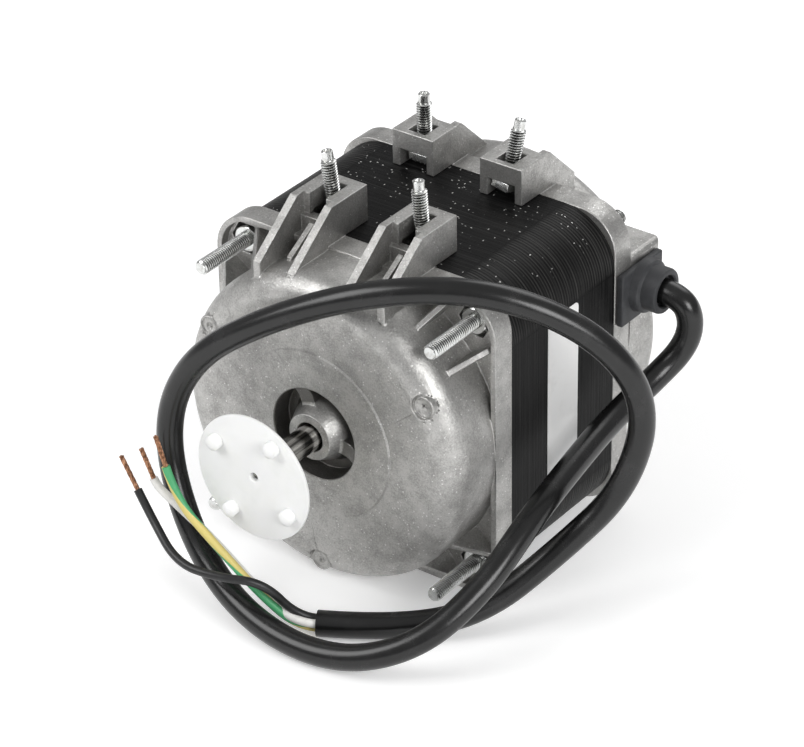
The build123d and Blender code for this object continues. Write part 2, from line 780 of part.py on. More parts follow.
# Base studs: a square head in the lug's slot, a neck, a threaded end and a dog point, each leaning as it lies
base_stud_places = [
    (x, place(side, -inset))
    for side, inset in ((FRONT, base_stud_inset_front), (REAR, base_stud_inset_rear))
    for x in LUG_XS
]
with BuildPart() as base_studs:
    for (stud_x, stud_y), (lean_x, lean_y) in zip(base_stud_places, base_stud_leans):
        upward = Vector(tan(radians(lean_x)), tan(radians(lean_y)), 1).normalized()
        pivot = Vector(stud_x, stud_y, lug_top - stud_pivot_sunk)
        head_underside = pivot - upward * (pivot.Z - half_width - stud_head_lift)
        stud_plane = Plane(origin=head_underside, x_dir=(1, 0, 0), z_dir=upward)
        lug_crossing = (lug_top - head_underside.Z) / upward.Z
        neck_length = lug_crossing + base_stud_thread_lift - stud_head_height
        thread_length = base_stud_reach - base_stud_thread_lift - dog_length
        stud_length = lug_crossing + base_stud_reach
        with BuildSketch(stud_plane):
            Rectangle(stud_head_width, stud_head_width)
        extrude(amount=stud_head_height)
        with BuildSketch(stud_plane.offset(stud_head_height)):
            Circle(stud_neck_radius)
        extrude(amount=neck_length)
        with BuildSketch(stud_plane.offset(stud_head_height + neck_length)):
            Circle(base_stud_radius)
        extrude(amount=thread_length)
        with BuildSketch(stud_plane.offset(stud_length - dog_length)):
            Circle(dog_radius)
        extrude(amount=dog_length)
        thread_middle = head_underside + upward * (stud_length - dog_length - thread_length / 2)
        print("base stud thread: middle", thread_middle, "axis", upward, "length", thread_length)
save(base_studs, "base_studs")

with BuildPart() as rating_label:
    with BuildSketch(side_plane(stack_half_width)):
        with Locations(((label_front + label_back) / 2, (label_bottom + label_top) / 2)):
            RectangleRounded(label_width, label_top - label_bottom, label_corner)
    extrude(amount=stack_inset)
save(rating_label, "rating_label")

# Supply cord: out of the grommet, forwards beside the motor to the ground, round in one standing loop that
# leans over the front bell, and back along the ground to its cut end. The ground is the flanges' underside.
ground_z = -half_width
cord_start = (grommet_reach - grommet_mouth_depth, grommet_axis_y, grommet_axis_z)
cord_rest = ground_z + cord_radius
CORD_ROUTE = (
    cord_start,
    (58, grommet_axis_y, grommet_axis_z),
    (62.5, 61.5, 14),
    (61, 60.5, 6.5),
    (55.5, 53, -0.5),
    (52, 37, -5),
    (54, 17, -7),
    (56, -5, -11),
    (55, -24, -22),
    (47, -41, -33),
    (28, -50, cord_rest),
    (2, -50, -38),
    (-22, -42, -28),
    (-35, -36, -3),
    (-27, -33, 20),
    (-4, -28, 37),
    (22, -20, 49),
    (47, -7, 51),
    (67, 8, 38),
    (76, 16, 18),
    (71, 14, -7),
    (59, 3, -24),
    (48, -15, -37),
    (32, -30, cord_rest),
    (15, -39, cord_rest),
)
CORE_ROUTES = {
    "black_core": ((5, -47, -27), (-5, -53, -26), (-17, -54, -26), (-29, -50, -21), (-36, -45, -16)),
    "white_core": ((2, -43, -35), (-13, -44, -23), (-23, -46, -15), (-30, -46, -10)),
    "green_yellow_core": ((3, -45, -33.5), (-11, -47, -21), (-22, -48, -12), (-26, -48, -3)),
}
# Places of the three cores in the cord's cut end, across the cord and upwards
CORE_OFFSETS = {"black_core": (0.0, 1.6), "white_core": (1.3, -0.9), "green_yellow_core": (-1.3, -0.9)}
core_straight = 7.0


def run_tube(name, route, radius):
    """A round tube along straight runs joined by arcs that are as large as the runs allow."""
    points = [Vector(*point) for point in route]
    corners = []
    for before, corner, after in zip(points, points[1:], points[2:]):
        turn = (corner - before).get_angle(after - corner)
        shorter = min((corner - before).length, (after - corner).length)
        corners.append(arc_share * shorter / tan(radians(turn) / 2))
    with BuildPart() as tube:
        with BuildLine() as path:
            FilletPolyline(*points, radius=corners)
        with BuildSketch(Plane(origin=points[0], z_dir=points[1] - points[0])):
            Circle(radius)
        sweep(path=path.wires()[0])
    length = path.wires()[0].length
    expected = pi * radius**2 * length
    print(f"{name}: length {length:.1f}, volume over section by length {tube.part.volume / expected:.4f}")
    print("  arc radii", [round(value, 1) for value in corners])
    save(tube, name)
    return points


cord_points = run_tube("power_cord", CORD_ROUTE, cord_radius)
cord_end = cord_points[-1]
cord_heading = (cord_end - cord_points[-2]).normalized()
cord_across = cord_heading.cross(Vector(0, 0, 1))
for name, route in CORE_ROUTES.items():
    across, up = CORE_OFFSETS[name]
    core_start = cord_end + cord_across * across + Vector(0, 0, up)
    core_points = run_tube(name, (core_start, core_start + cord_heading * core_straight, *route), core_radius)
    tip_heading = core_points[-1] - core_points[-2]
    with BuildPart() as copper:
        with BuildSketch(Plane(origin=core_points[-1], z_dir=tip_heading)):
            Circle(copper_radius)
        extrude(amount=copper_length)
    save(copper, f"{name}_copper")
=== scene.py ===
"""Looks of a condenser fan motor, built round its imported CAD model.

A shaded-pole motor: a black square lamination stack between two die-cast end bells, four base studs, a
hub disc on the shaft, and a supply cord that stands in one loop and ends in three bared cores. Shapes are
worked in millimetres in the frame of the CAD (X right, Y from the shaft end to the back, Z up), and are
scaled to metres at the end.
"""

import json
import logging
import math
import random
from dataclasses import dataclass
from enum import Enum
from typing import Callable, Iterable, Sequence

import bmesh
import bpy
from bpy.types import Material, NodeSocket, Object, World
from mathutils import Matrix, Vector


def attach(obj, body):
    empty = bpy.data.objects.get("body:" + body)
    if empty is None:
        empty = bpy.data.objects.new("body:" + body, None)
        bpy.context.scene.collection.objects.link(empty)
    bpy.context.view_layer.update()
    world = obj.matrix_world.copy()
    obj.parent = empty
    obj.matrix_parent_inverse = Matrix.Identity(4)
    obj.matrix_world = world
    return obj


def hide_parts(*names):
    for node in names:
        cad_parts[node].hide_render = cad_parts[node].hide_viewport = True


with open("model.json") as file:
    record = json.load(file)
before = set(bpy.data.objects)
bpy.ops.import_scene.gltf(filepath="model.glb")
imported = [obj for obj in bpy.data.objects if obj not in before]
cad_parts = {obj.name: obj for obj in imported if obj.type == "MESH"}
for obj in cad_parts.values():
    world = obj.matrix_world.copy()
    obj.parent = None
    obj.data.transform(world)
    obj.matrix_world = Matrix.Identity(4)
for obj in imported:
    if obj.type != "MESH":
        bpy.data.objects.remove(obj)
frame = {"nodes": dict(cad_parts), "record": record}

MM = 0.001
TURN = 2 * math.pi
LOG = logging.getLogger("motor")
Colour = tuple[float, float, float]
Point = tuple[float, float, float]
Span = tuple[float, float]
Profile = list[Span]
Noise = tuple[float | Point, ...]
Shape = bmesh.types.BMesh

UNSTRETCHED: Point = (1.0, 1.0, 1.0)
MERGE = 1e-4
THREAD_DEPTH = 0.6
THREAD_FACETS = 28
MIX_FACTOR, MIX_FIRST, MIX_SECOND, MIX_COLOUR = 0, 6, 7, 2


class Body(Enum):
    """The two moving groups of the CAD."""

    STATOR = "stator"
    ROTOR = "rotor"


class Mark(Enum):
    """Attributes that the shapes carry for their finishes."""

    STRIPE_SIDE = "stripe_side"
    THREAD_ROOT = "thread_root"


class Socket:
    """An output of a shader node. Arithmetic on it adds the Math nodes."""

    def __init__(self, shader: "Shader", link: NodeSocket) -> None:
        """Wraps one output of the shader's tree."""
        self.shader = shader
        self.link = link

    def math(self, operation: str, *values: "Socket | float") -> "Socket":
        """One Math node with these values."""
        return self.shader.node("ShaderNodeMath", dict(enumerate(values)), operation=operation)

    def __add__(self, other: "Socket | float") -> "Socket":
        """Sum."""
        return self.math("ADD", self, other)

    def __radd__(self, other: float) -> "Socket":
        """Sum with a number on the left."""
        return self.math("ADD", other, self)

    def __sub__(self, other: "Socket | float") -> "Socket":
        """Difference."""
        return self.math("SUBTRACT", self, other)

    def __rsub__(self, other: float) -> "Socket":
        """Difference with a number on the left."""
        return self.math("SUBTRACT", other, self)

    def __mul__(self, other: "Socket | float") -> "Socket":
        """Product."""
        return self.math("MULTIPLY", self, other)

    def __rmul__(self, other: float) -> "Socket":
        """Product with a number on the left."""
        return self.math("MULTIPLY", other, self)

    def absolute(self) -> "Socket":
        """Value without its sign."""
        return self.math("ABSOLUTE", self)

    def root(self) -> "Socket":
        """Square root."""
        return self.math("SQRT", self)

    def least(self, other: "Socket | float") -> "Socket":
        """The smaller of the two."""
        return self.math("MINIMUM", self, other)

    def most(self, other: "Socket | float") -> "Socket":
        """The larger of the two."""
        return self.math("MAXIMUM", self, other)

    def step(self, low: float, high: float) -> "Socket":
        """A smooth rise from 0 to 1 between two values, or a fall where low is the larger.

        Args:
            low: Value at which the result is 0.
            high: Value at which the result is 1.

        Returns:
            The mask.
        """
        inputs = {"Value": self, "From Min": low, "From Max": high, "To Min": 0.0, "To Max": 1.0}
        if low > high:
            inputs.update({"From Min": high, "From Max": low, "To Min": 1.0, "To Max": 0.0})
        return self.shader.node("ShaderNodeMapRange", inputs, interpolation_type="SMOOTHSTEP")


class Shader:
    """A material or world whose node tree is written as expressions."""

    def __init__(self, owner: Material | World, surface: str = "Principled BSDF") -> None:
        """Starts the tree of a new material or world, whose closing node has this name."""
        self.owner = owner
        self.owner.use_nodes = True
        self.tree = self.owner.node_tree
        self.surface = self.tree.nodes[surface]

    def feed(self, socket: NodeSocket, value: "Socket | float | Sequence[float]") -> None:
        """Links an output to a socket, or writes a plain value on it."""
        if isinstance(value, Socket):
            self.tree.links.new(value.link, socket)
        elif not isinstance(value, (int, float)) and len(value) == 3 and socket.type == "RGBA":
            socket.default_value = (*value, 1.0)
        else:
            socket.default_value = value

    def node(self, kind: str, inputs: dict | None = None, output: int = 0, **settings: object) -> Socket:
        """Adds a node.

        Args:
            kind: The node's type.
            inputs: Values or links of its sockets, by name or number.
            output: Number of the output that is returned.
            settings: The node's own settings, and stops for a colour ramp.

        Returns:
            The output.
        """
        made = self.tree.nodes.new(kind)
        for index, (place, shade) in enumerate(settings.pop("stops", ())):
            elements = made.color_ramp.elements
            element = elements[index] if index < 2 else elements.new(place)
            element.position = place
            element.color = (*shade, 1.0)
        for name, value in settings.items():
            setattr(made, name, value)
        for key, value in (inputs or {}).items():
            self.feed(made.inputs[key], value)
        return Socket(self, made.outputs[output])

    def place(self, scale: Point = UNSTRETCHED) -> Socket:
        """Object coordinates, stretched where a scale is given."""
        coordinates = self.node("ShaderNodeTexCoord", output=3)
        return self.node("ShaderNodeMapping", {"Vector": coordinates, "Scale": scale})

    def axes(self) -> tuple[Socket, Socket, Socket]:
        """The three object coordinates, in millimetres."""
        made = self.node("ShaderNodeSeparateXYZ", {0: self.place((1 / MM,) * 3)})
        outputs = made.link.node.outputs
        return Socket(self, outputs[0]), Socket(self, outputs[1]), Socket(self, outputs[2])

    def noise(
        self, size: float, detail: float = 3.0, rough: float = 0.55, scale: Point = UNSTRETCHED
    ) -> Socket:
        """Noise with features of about this size in millimetres."""
        inputs = {"Vector": self.place(scale), "Scale": 1 / (size * MM), "Detail": detail, "Roughness": rough}
        return self.node("ShaderNodeTexNoise", inputs)

    def mark(self, mark: Mark) -> Socket:
        """An attribute of the shape, 0 where the shape doesn't carry it."""
        return self.node("ShaderNodeAttribute", output=2, attribute_name=mark.value)

    def specks(self, spacing: float, radius: float, scale: Point = UNSTRETCHED) -> Socket:
        """A mask of small specks, about one in each cell of this spacing, in millimetres."""
        inputs = {"Vector": self.place(scale), "Scale": 1 / (spacing * MM), "Randomness": 1.0}
        return self.node("ShaderNodeTexVoronoi", inputs).step(radius / spacing, 0.5 * radius / spacing)

    def mix(self, mask: Socket | float, first: "Socket | Colour", second: "Socket | Colour") -> Socket:
        """Two colours mixed by a mask."""
        inputs = {MIX_FACTOR: mask, MIX_FIRST: first, MIX_SECOND: second}
        return self.node("ShaderNodeMix", inputs, output=MIX_COLOUR, data_type="RGBA")

    def bump(self, height: Socket, distance: float, under: Socket | None = None) -> Socket:
        """A Bump node.

        Args:
            height: Relief from 0 to 1.
            distance: Height of the relief in millimetres.
            under: The normal of a coarser bump that this one lies on.

        Returns:
            The normal.
        """
        inputs = {"Strength": 1.0, "Distance": distance * MM, "Height": height}
        if under:
            inputs["Normal"] = under
        return self.node("ShaderNodeBump", inputs)

    def finish(self, **values: "Socket | float | Sequence[float]") -> Material | World:
        """Feeds the closing node; Base_Color stands for Base Color."""
        for name, value in values.items():
            self.feed(self.surface.inputs[name.replace("_", " ")], value)
        return self.owner


@dataclass(frozen=True)
class Finish:
    """A material that is made once and shared."""

    name: str

    def material(self) -> Material:
        """The finish's material, made at its first use."""
        return bpy.data.materials.get(self.name) or self.build(Shader(bpy.data.materials.new(self.name)))

    def build(self, shader: Shader) -> Material:
        """Writes the nodes of the finish."""
        raise NotImplementedError


@dataclass(frozen=True)
class CastAluminium(Finish):
    """Pressure die casting: a grey skin with flow marks, grain and small bright specks."""

    light: Colour = (0.5, 0.495, 0.48)
    dark: Colour = (0.32, 0.315, 0.305)
    speck: Colour = (0.85, 0.85, 0.84)
    # Painted shade of the recess round each bearing.
    recess_shade: Colour = (0.1, 0.095, 0.088)
    recess_inner: float = 8.6
    recess_outer: float = 12.7
    recess_from_middle: float = 38.0
    middle: float = 27.5
    inner_fade: float = 0.6
    outer_fade: float = 0.3
    depth_fade: float = 1.0
    clouds: Noise = (5.0, 5.0, 0.65)
    grain: Noise = (0.45, 3.0, 0.7)
    pits: Noise = (1.1, 4.0, 0.65)
    stain_fade: Span = (0.36, 0.62)
    filings: Span = (1.1, 0.25)
    filing_patch: float = 4.0
    filing_fade: Span = (0.42, 0.6)
    overlay: float = 0.8
    grain_height: float = 0.075
    pit_height: float = 0.12
    metallic: float = 0.85
    roughness: float = 0.46
    polish: float = 0.12

    def build(self, shader: Shader) -> Material:
        """Cloudy stains, a fine grain, filings, and painted shade in the recess round each bearing."""
        grain = shader.noise(*self.grain)
        stains = (shader.noise(*self.clouds) * 0.5 + grain * 0.5).step(*self.stain_fade)
        specks = shader.specks(*self.filings) * shader.noise(self.filing_patch).step(*self.filing_fade)
        colour = shader.mix(specks * self.overlay, shader.mix(stains, self.dark, self.light), self.speck)
        # Painted shade: near each end, the ring between bearing boss and recess wall is darkened as if in
        # shadow.
        x, y, z = shader.axes()
        reach = (x * x + z * z).root()
        past_boss = reach.step(self.recess_inner - self.inner_fade, self.recess_inner)
        in_recess = reach.step(self.recess_outer + self.outer_fade, self.recess_outer)
        depth = (y - self.middle).absolute()
        outside = depth.step(self.recess_from_middle - self.depth_fade, self.recess_from_middle)
        colour = shader.mix(past_boss * in_recess * outside * self.overlay, colour, self.recess_shade)
        pitted = shader.bump(shader.noise(*self.pits), self.pit_height)
        return shader.finish(
            Base_Color=colour,
            Metallic=self.metallic,
            Roughness=self.roughness - stains * self.polish,
            Normal=shader.bump(grain, self.grain_height, pitted),
        )


@dataclass(frozen=True)
class BlackLaminations(Finish):
    """Steel sheets dipped in black varnish, with worn sheet edges and a little white dust."""

    black: Colour = (0.003, 0.003, 0.0031)
    worn: Colour = (0.016, 0.016, 0.0158)
    bare_edge: Colour = (0.05, 0.049, 0.047)
    dust: Colour = (0.75, 0.75, 0.73)
    line_pitch: float = 1.0
    seam_place: float = 27.7
    seam_width: float = 0.35
    seam_core: float = 0.1
    corner_fade: float = 1.5
    dusty_from: float = 36.0
    dusty_above: float = 41.0
    shine: float = 0.12
    streaks: Noise = (1.0, 2.0, 0.5, (0.03, 2.2, 0.03))
    wear_fade: Span = (0.45, 0.7)
    seam_depth: float = 0.9
    line_fade: Span = (0.2, 0.4)
    line_least: float = 0.35
    flakes_across: Noise = (2.6, 0.34, (1.0, 2.2, 1.0))
    flakes_along: Noise = (2.9, 0.36, (2.4, 1.0, 1.0))
    flake_patch: float = 9.0
    flake_fade: Span = (0.45, 0.55)
    lint: Span = (7.0, 0.36)
    lint_patch: float = 18.0
    lint_fade: Span = (0.5, 0.62)
    relief: Noise = (0.8, 3.0)
    relief_height: float = 0.03
    roughness: float = 0.4
    dulling: float = 0.14

    def build(self, shader: Shader) -> Material:
        """Streaks along each sheet, dark seams beside the corners, paler corners, and dust."""
        sheets = shader.noise(*self.streaks)
        x, y, z = shader.axes()
        away = [(axis.absolute() - self.seam_place).absolute() for axis in (x, z)]
        seam = away[0].least(away[1]).step(self.seam_width, self.seam_core)
        worn = sheets.step(*self.wear_fade) * (1 - seam * self.seam_depth)
        corner = x.absolute().least(z.absolute()).step(self.seam_place, self.seam_place + self.corner_fade)
        flakes = shader.specks(*self.flakes_across).most(shader.specks(*self.flakes_along))
        dust = flakes * shader.noise(self.flake_patch).step(*self.flake_fade)
        dust = dust * z.step(self.dusty_from, self.dusty_above)
        lint = shader.specks(*self.lint) * shader.noise(self.lint_patch).step(*self.lint_fade)
        pitch, (low, high) = self.line_pitch, self.line_fade
        lines = y.math("PINGPONG", y, pitch / 2).step(low * pitch, high * pitch)
        shown = self.line_least + (1 - self.line_least) * worn
        varnish = shader.mix(worn, self.black, self.worn)
        colour = shader.mix(lines * corner * shown, varnish, self.bare_edge)
        return shader.finish(
            Base_Color=shader.mix(dust.most(lint), colour, self.dust),
            Specular_IOR_Level=self.shine,
            Roughness=self.roughness + sheets * self.dulling,
            Normal=shader.bump(shader.noise(*self.relief), self.relief_height),
        )


@dataclass(frozen=True)
class TurnedSteel(Finish):
    """Ground or rolled steel, with fine marks round the axis of the motor."""

    colour: Colour = (0.55, 0.54, 0.52)
    stain: Colour = (0.16, 0.157, 0.15)
    roughness: float = 0.14
    marks: float = 0.004
    rings: Noise = (1.0, 3.0, 0.7, (0.02, 4.0, 0.02))
    streaks: Noise = (1.3, 2.0, 0.5, (1.0, 0.03, 1.0))
    streak_fade: Span = (0.58, 0.42)
    streak_depth: float = 0.9
    dulling: float = 0.06

    def build(self, shader: Shader) -> Material:
        """Rings of different shine, and drawn streaks along Y."""
        rings = shader.noise(*self.rings)
        streaks = shader.noise(*self.streaks).step(*self.streak_fade)
        return shader.finish(
            Base_Color=shader.mix(streaks * self.streak_depth, self.colour, self.stain),
            Metallic=1.0,
            Roughness=self.roughness + rings * self.dulling,
            Normal=shader.bump(rings, self.marks),
        )


@dataclass(frozen=True)
class ZincPlate(Finish):
    """Bright zinc plating: pale, a little cloudy, with a faint blue and yellow cast."""

    bright: Colour = (0.72, 0.73, 0.72)
    dull: Colour = (0.55, 0.55, 0.53)
    # Painted shade: the colour of the thread roots, dark where shade falls in the grooves.
    root: Colour = (0.06, 0.06, 0.058)
    clouds: Noise = (1.6, 4.0, 0.6)
    cloud_fade: Span = (0.4, 0.72)
    root_shade_fade: Span = (0.45, 0.95)
    roughness: float = 0.17
    dulling: float = 0.12

    def build(self, shader: Shader) -> Material:
        """Clouds in colour and shine, and painted shade in the roots of the threads."""
        clouds = shader.noise(*self.clouds)
        plating = shader.mix(clouds.step(*self.cloud_fade), self.bright, self.dull)
        # Painted shade on the thread roots that the shape marks.
        colour = shader.mix(shader.mark(Mark.THREAD_ROOT).step(*self.root_shade_fade), plating, self.root)
        roughness = self.roughness + clouds * self.dulling
        return shader.finish(Base_Color=colour, Metallic=1.0, Roughness=roughness)


@dataclass(frozen=True)
class Rubber(Finish):
    """Moulded or drawn black rubber with a soft bloom and scuffs."""

    colour: Colour = (0.006, 0.006, 0.006)
    bloom: Colour = (0.016, 0.016, 0.016)
    roughness: float = 0.2
    grain: float = 0.9
    shine: float = 0.5
    dust: Colour = (0.4, 0.4, 0.4)
    clouds: Noise = (7.0, 5.0, 0.62)
    bloom_fade: Span = (0.45, 0.78)
    specks: Span = (4.5, 0.22)
    speck_patch: float = 16.0
    speck_fade: Span = (0.52, 0.66)
    speck_depth: float = 0.45
    grain_height: float = 0.015
    dulling: float = 0.12

    def build(self, shader: Shader) -> Material:
        """Bloom in clouds, dust specks and a soft skin."""
        clouds = shader.noise(*self.clouds)
        specks = shader.specks(*self.specks) * shader.noise(self.speck_patch).step(*self.speck_fade)
        skin = shader.mix(clouds.step(*self.bloom_fade), self.colour, self.bloom)
        return shader.finish(
            Base_Color=shader.mix(specks * self.speck_depth, skin, self.dust),
            Specular_IOR_Level=self.shine,
            Roughness=self.roughness + clouds * self.dulling,
            Normal=shader.bump(shader.noise(self.grain, 4.0, 0.6), self.grain_height),
        )


@dataclass(frozen=True)
class Cloudy(Finish):
    """Two shades in clouds, a shine that follows them, and a fine relief.

    The clouds and the relief are given as the values of Shader.noise, and the fade as the cloud's values
    at which the shade starts and is full.
    """

    colour: Colour
    shade: Colour
    clouds: Noise = (3.0, 4.0, 0.6)
    fade: Span = (0.45, 0.8)
    relief: Noise = (0.7,)
    height: float = 0.015
    metallic: float = 0.0
    roughness: float = 0.4
    dulling: float = 0.1

    def build(self, shader: Shader) -> Material:
        """Shades, shine and relief."""
        clouds = shader.noise(*self.clouds)
        normal = shader.bump(shader.noise(*self.relief), self.height)
        return shader.finish(
            Base_Color=shader.mix(self.mask(shader, clouds), self.colour, self.shade),
            Metallic=self.metallic,
            Roughness=self.roughness + clouds * self.dulling,
            Normal=normal,
        )

    def mask(self, shader: Shader, clouds: Socket) -> Socket:
        """Where the second shade lies."""
        return clouds.step(*self.fade)


@dataclass(frozen=True)
class StripedPlastic(Cloudy):
    """Insulation with a stripe that winds slowly round it, on the side that the core's attribute marks."""

    wander: float = 0.16

    def mask(self, shader: Shader, clouds: Socket) -> Socket:
        """The stripe, with a slightly uneven edge."""
        return (shader.mark(Mark.STRIPE_SIDE) + clouds * self.wander).step(*self.fade)


@dataclass(frozen=True)
class Nylon(Cloudy):
    """Milky moulded nylon with faint flow marks in a waxy skin."""

    milkiness: float = 0.35
    depths: Colour = (1.0, 1.0, 0.9)
    depth: float = 1.2

    def build(self, shader: Shader) -> Material:
        """Light under the skin, and the rest as for any cloudy finish."""
        shader.finish(Subsurface_Weight=self.milkiness, Subsurface_Radius=self.depths)
        shader.finish(Subsurface_Scale=self.depth * MM)
        return super().build(shader)


def inner_finish(
    name: str, light: Colour, dark: Colour, metallic: float, roughness: float, grain: float
) -> Cloudy:
    """A plain technical material of a piece inside: two shades in a grain of this size."""
    noise = (grain, 4.0, 0.6)
    return Cloudy(name, dark, light, noise, (0.38, 0.66), noise, 0.04 * grain, metallic, roughness, 0.15)


CASTING = CastAluminium("cast_aluminium")
LAMINATIONS = BlackLaminations("black_laminations")
SHAFT_STEEL = TurnedSteel("ground_steel")
ZINC = ZincPlate("zinc_plate")
CORD_RUBBER = Rubber("cord_rubber_skin")
GROMMET_RUBBER = Rubber(
    "grommet_rubber_skin", (0.042, 0.043, 0.046), (0.075, 0.077, 0.081), roughness=0.45, grain=0.5, shine=0.3
)
BLACK_CORE = Rubber(
    "black_core_skin", (0.012, 0.012, 0.0125), (0.03, 0.03, 0.031), roughness=0.34, grain=0.5
)
WHITE_CORE = Cloudy("white_core_skin", (0.88, 0.87, 0.84), (0.76, 0.75, 0.72))
STRIPED_CORE = StripedPlastic("striped_core_skin", (0.08, 0.4, 0.17), (0.72, 0.6, 0.2), fade=(0.16, 0.26))
COPPER = Cloudy(
    "bare_copper_strands",
    (0.5, 0.27, 0.16),
    (0.19, 0.09, 0.05),
    clouds=(0.9, 3.0, 0.6),
    fade=(0.42, 0.6),
    relief=(0.2,),
    height=0.01,
    metallic=0.9,
    roughness=0.3,
    dulling=0.25,
)
NYLON = Nylon(
    "milky_nylon",
    (0.93, 0.935, 0.92),
    (0.88, 0.89, 0.865),
    clouds=(8.0, 4.0, 0.6),
    relief=(2.5, 4.0),
    height=0.03,
    roughness=0.36,
    dulling=0.12,
)
LABEL = Cloudy(
    "blank_label_film",
    (0.95, 0.95, 0.94),
    (0.86, 0.86, 0.845),
    clouds=(6.0, 5.0, 0.65),
    fade=(0.5, 0.8),
    relief=(1.0, 2.0, 0.5, (0.03, 1.6, 0.03)),
    height=0.02,
    roughness=0.34,
    dulling=0.14,
)
SLOT_FINISHES: dict[str, Finish] = {
    "die_cast": CASTING,
    "laminations": LAMINATIONS,
    "rotor_laminations": inner_finish("rotor_sheet_steel", (0.3,) * 3, (0.16, 0.16, 0.17), 0.9, 0.4, 0.8),
    "cage_aluminium": inner_finish("cage_cast_aluminium", (0.62,) * 3, (0.45,) * 3, 0.9, 0.4, 1.2),
    "shaft_steel": SHAFT_STEEL,
    "zinc_steel": ZINC,
    "sintered_bronze": inner_finish("oiled_bronze", (0.4, 0.24, 0.1), (0.2, 0.11, 0.05), 0.9, 0.35, 0.3),
    "felt": inner_finish("oiled_felt", (0.3, 0.22, 0.12), (0.17, 0.12, 0.06), 0.0, 0.85, 0.5),
    "nylon": NYLON,
    "former_plastic": inner_finish(
        "former_moulding", (0.7, 0.68, 0.6), (0.55, 0.53, 0.46), 0.0, 0.45, 2.0
    ),
    "enamelled_copper": inner_finish(
        "enamelled_winding", (0.5, 0.2, 0.06), (0.28, 0.09, 0.02), 0.6, 0.3, 0.6
    ),
    "bare_copper": COPPER,
    "fibre": inner_finish("pressed_fibre", (0.3, 0.14, 0.08), (0.2, 0.08, 0.05), 0.0, 0.7, 0.4),
    "grommet_rubber": GROMMET_RUBBER,
    "cord_rubber": CORD_RUBBER,
    "core_black": BLACK_CORE,
    "core_white": WHITE_CORE,
    "core_green": STRIPED_CORE,
    "label_paper": LABEL,
}


def upright(place: Point, direction: Sequence[float]) -> Matrix:
    """The transform that sets a shape's Z axis along a direction at a place."""
    return Matrix.Translation(place) @ Vector(direction).to_track_quat("Z", "Y").to_matrix().to_4x4()


def joined(parts: Iterable[tuple[Shape, Matrix]]) -> Shape:
    """Several shapes as one, each put in its place.

    Args:
        parts: Shapes with their transforms. The shapes can be used again.

    Returns:
        The shape that holds them all.
    """
    whole = bmesh.new()
    for shape, matrix in parts:
        mesh = bpy.data.meshes.new("part")
        shape.to_mesh(mesh)
        mesh.transform(matrix)
        whole.from_mesh(mesh)
        bpy.data.meshes.remove(mesh)
    return whole


def spun(profile: Profile, segments: int, rise: float = 0.0) -> Shape:
    """A line turned once round Z.

    Args:
        profile: Radius and height of each corner.
        segments: Facets round the axis.
        rise: Height gained in the turn. Without it, the line closes on itself unless it starts on the axis.

    Returns:
        The shape, with its doubles still in it.
    """
    shape = bmesh.new()
    corners = [shape.verts.new((radius, 0, height)) for radius, height in profile]
    edges = [shape.edges.new(pair) for pair in zip(corners, corners[1:])]
    if profile[0][0] > 0 and not rise:
        edges.append(shape.edges.new((corners[-1], corners[0])))
    bmesh.ops.spin(
        shape,
        geom=corners + edges,
        cent=(0, 0, 0),
        axis=(0, 0, 1),
        dvec=(0, 0, rise / segments),
        angle=TURN,
        steps=segments,
        use_merge=not rise,
    )
    return shape


def turned(profile: Profile, segments: int = 64) -> Shape:
    """A solid of revolution round Z, whose profile starts and ends on the axis or closes on itself."""
    shape = spun(profile, segments)
    bmesh.ops.remove_doubles(shape, verts=shape.verts, dist=MERGE)
    bmesh.ops.recalc_face_normals(shape, faces=shape.faces)
    return shape


def bar(radius: float, length: float) -> Shape:
    """A plain round bar that stands on Z = 0."""
    return turned([(0, 0), (radius, 0), (radius, length), (0, length)], 24)


def round_corners(shape: Shape, radius: float, segments: int) -> None:
    """Rounds the corners of a flat shape."""
    bmesh.ops.bevel(
        shape,
        geom=list(shape.verts),
        offset=radius,
        segments=segments,
        profile=0.5,
        affect="VERTICES",
        material=-1,
    )


def block(low: Point, high: Point, edge: float) -> Shape:
    """A box between two corners with rounded edges."""
    shape = bmesh.new()
    size = Vector(high) - Vector(low)
    matrix = Matrix.Translation((Vector(high) + Vector(low)) / 2) @ Matrix.Diagonal((*size, 1))
    bmesh.ops.create_cube(shape, size=1, matrix=matrix)
    bmesh.ops.bevel(
        shape, geom=list(shape.edges), offset=edge, segments=3, profile=0.5, affect="EDGES", material=-1
    )
    return shape


def limit_radius(shape: Shape, limit: Callable[[float, float], float]) -> None:
    """Pulls vertices in to a radius that may depend on height and angle.

    Args:
        shape: The shape round Z.
        limit: Gives the largest radius from height and angle.
    """
    for vertex in shape.verts:
        radius = vertex.co.xy.length
        most = limit(vertex.co.z, math.atan2(vertex.co.y, vertex.co.x))
        if radius > most:
            vertex.co.xy *= most / radius


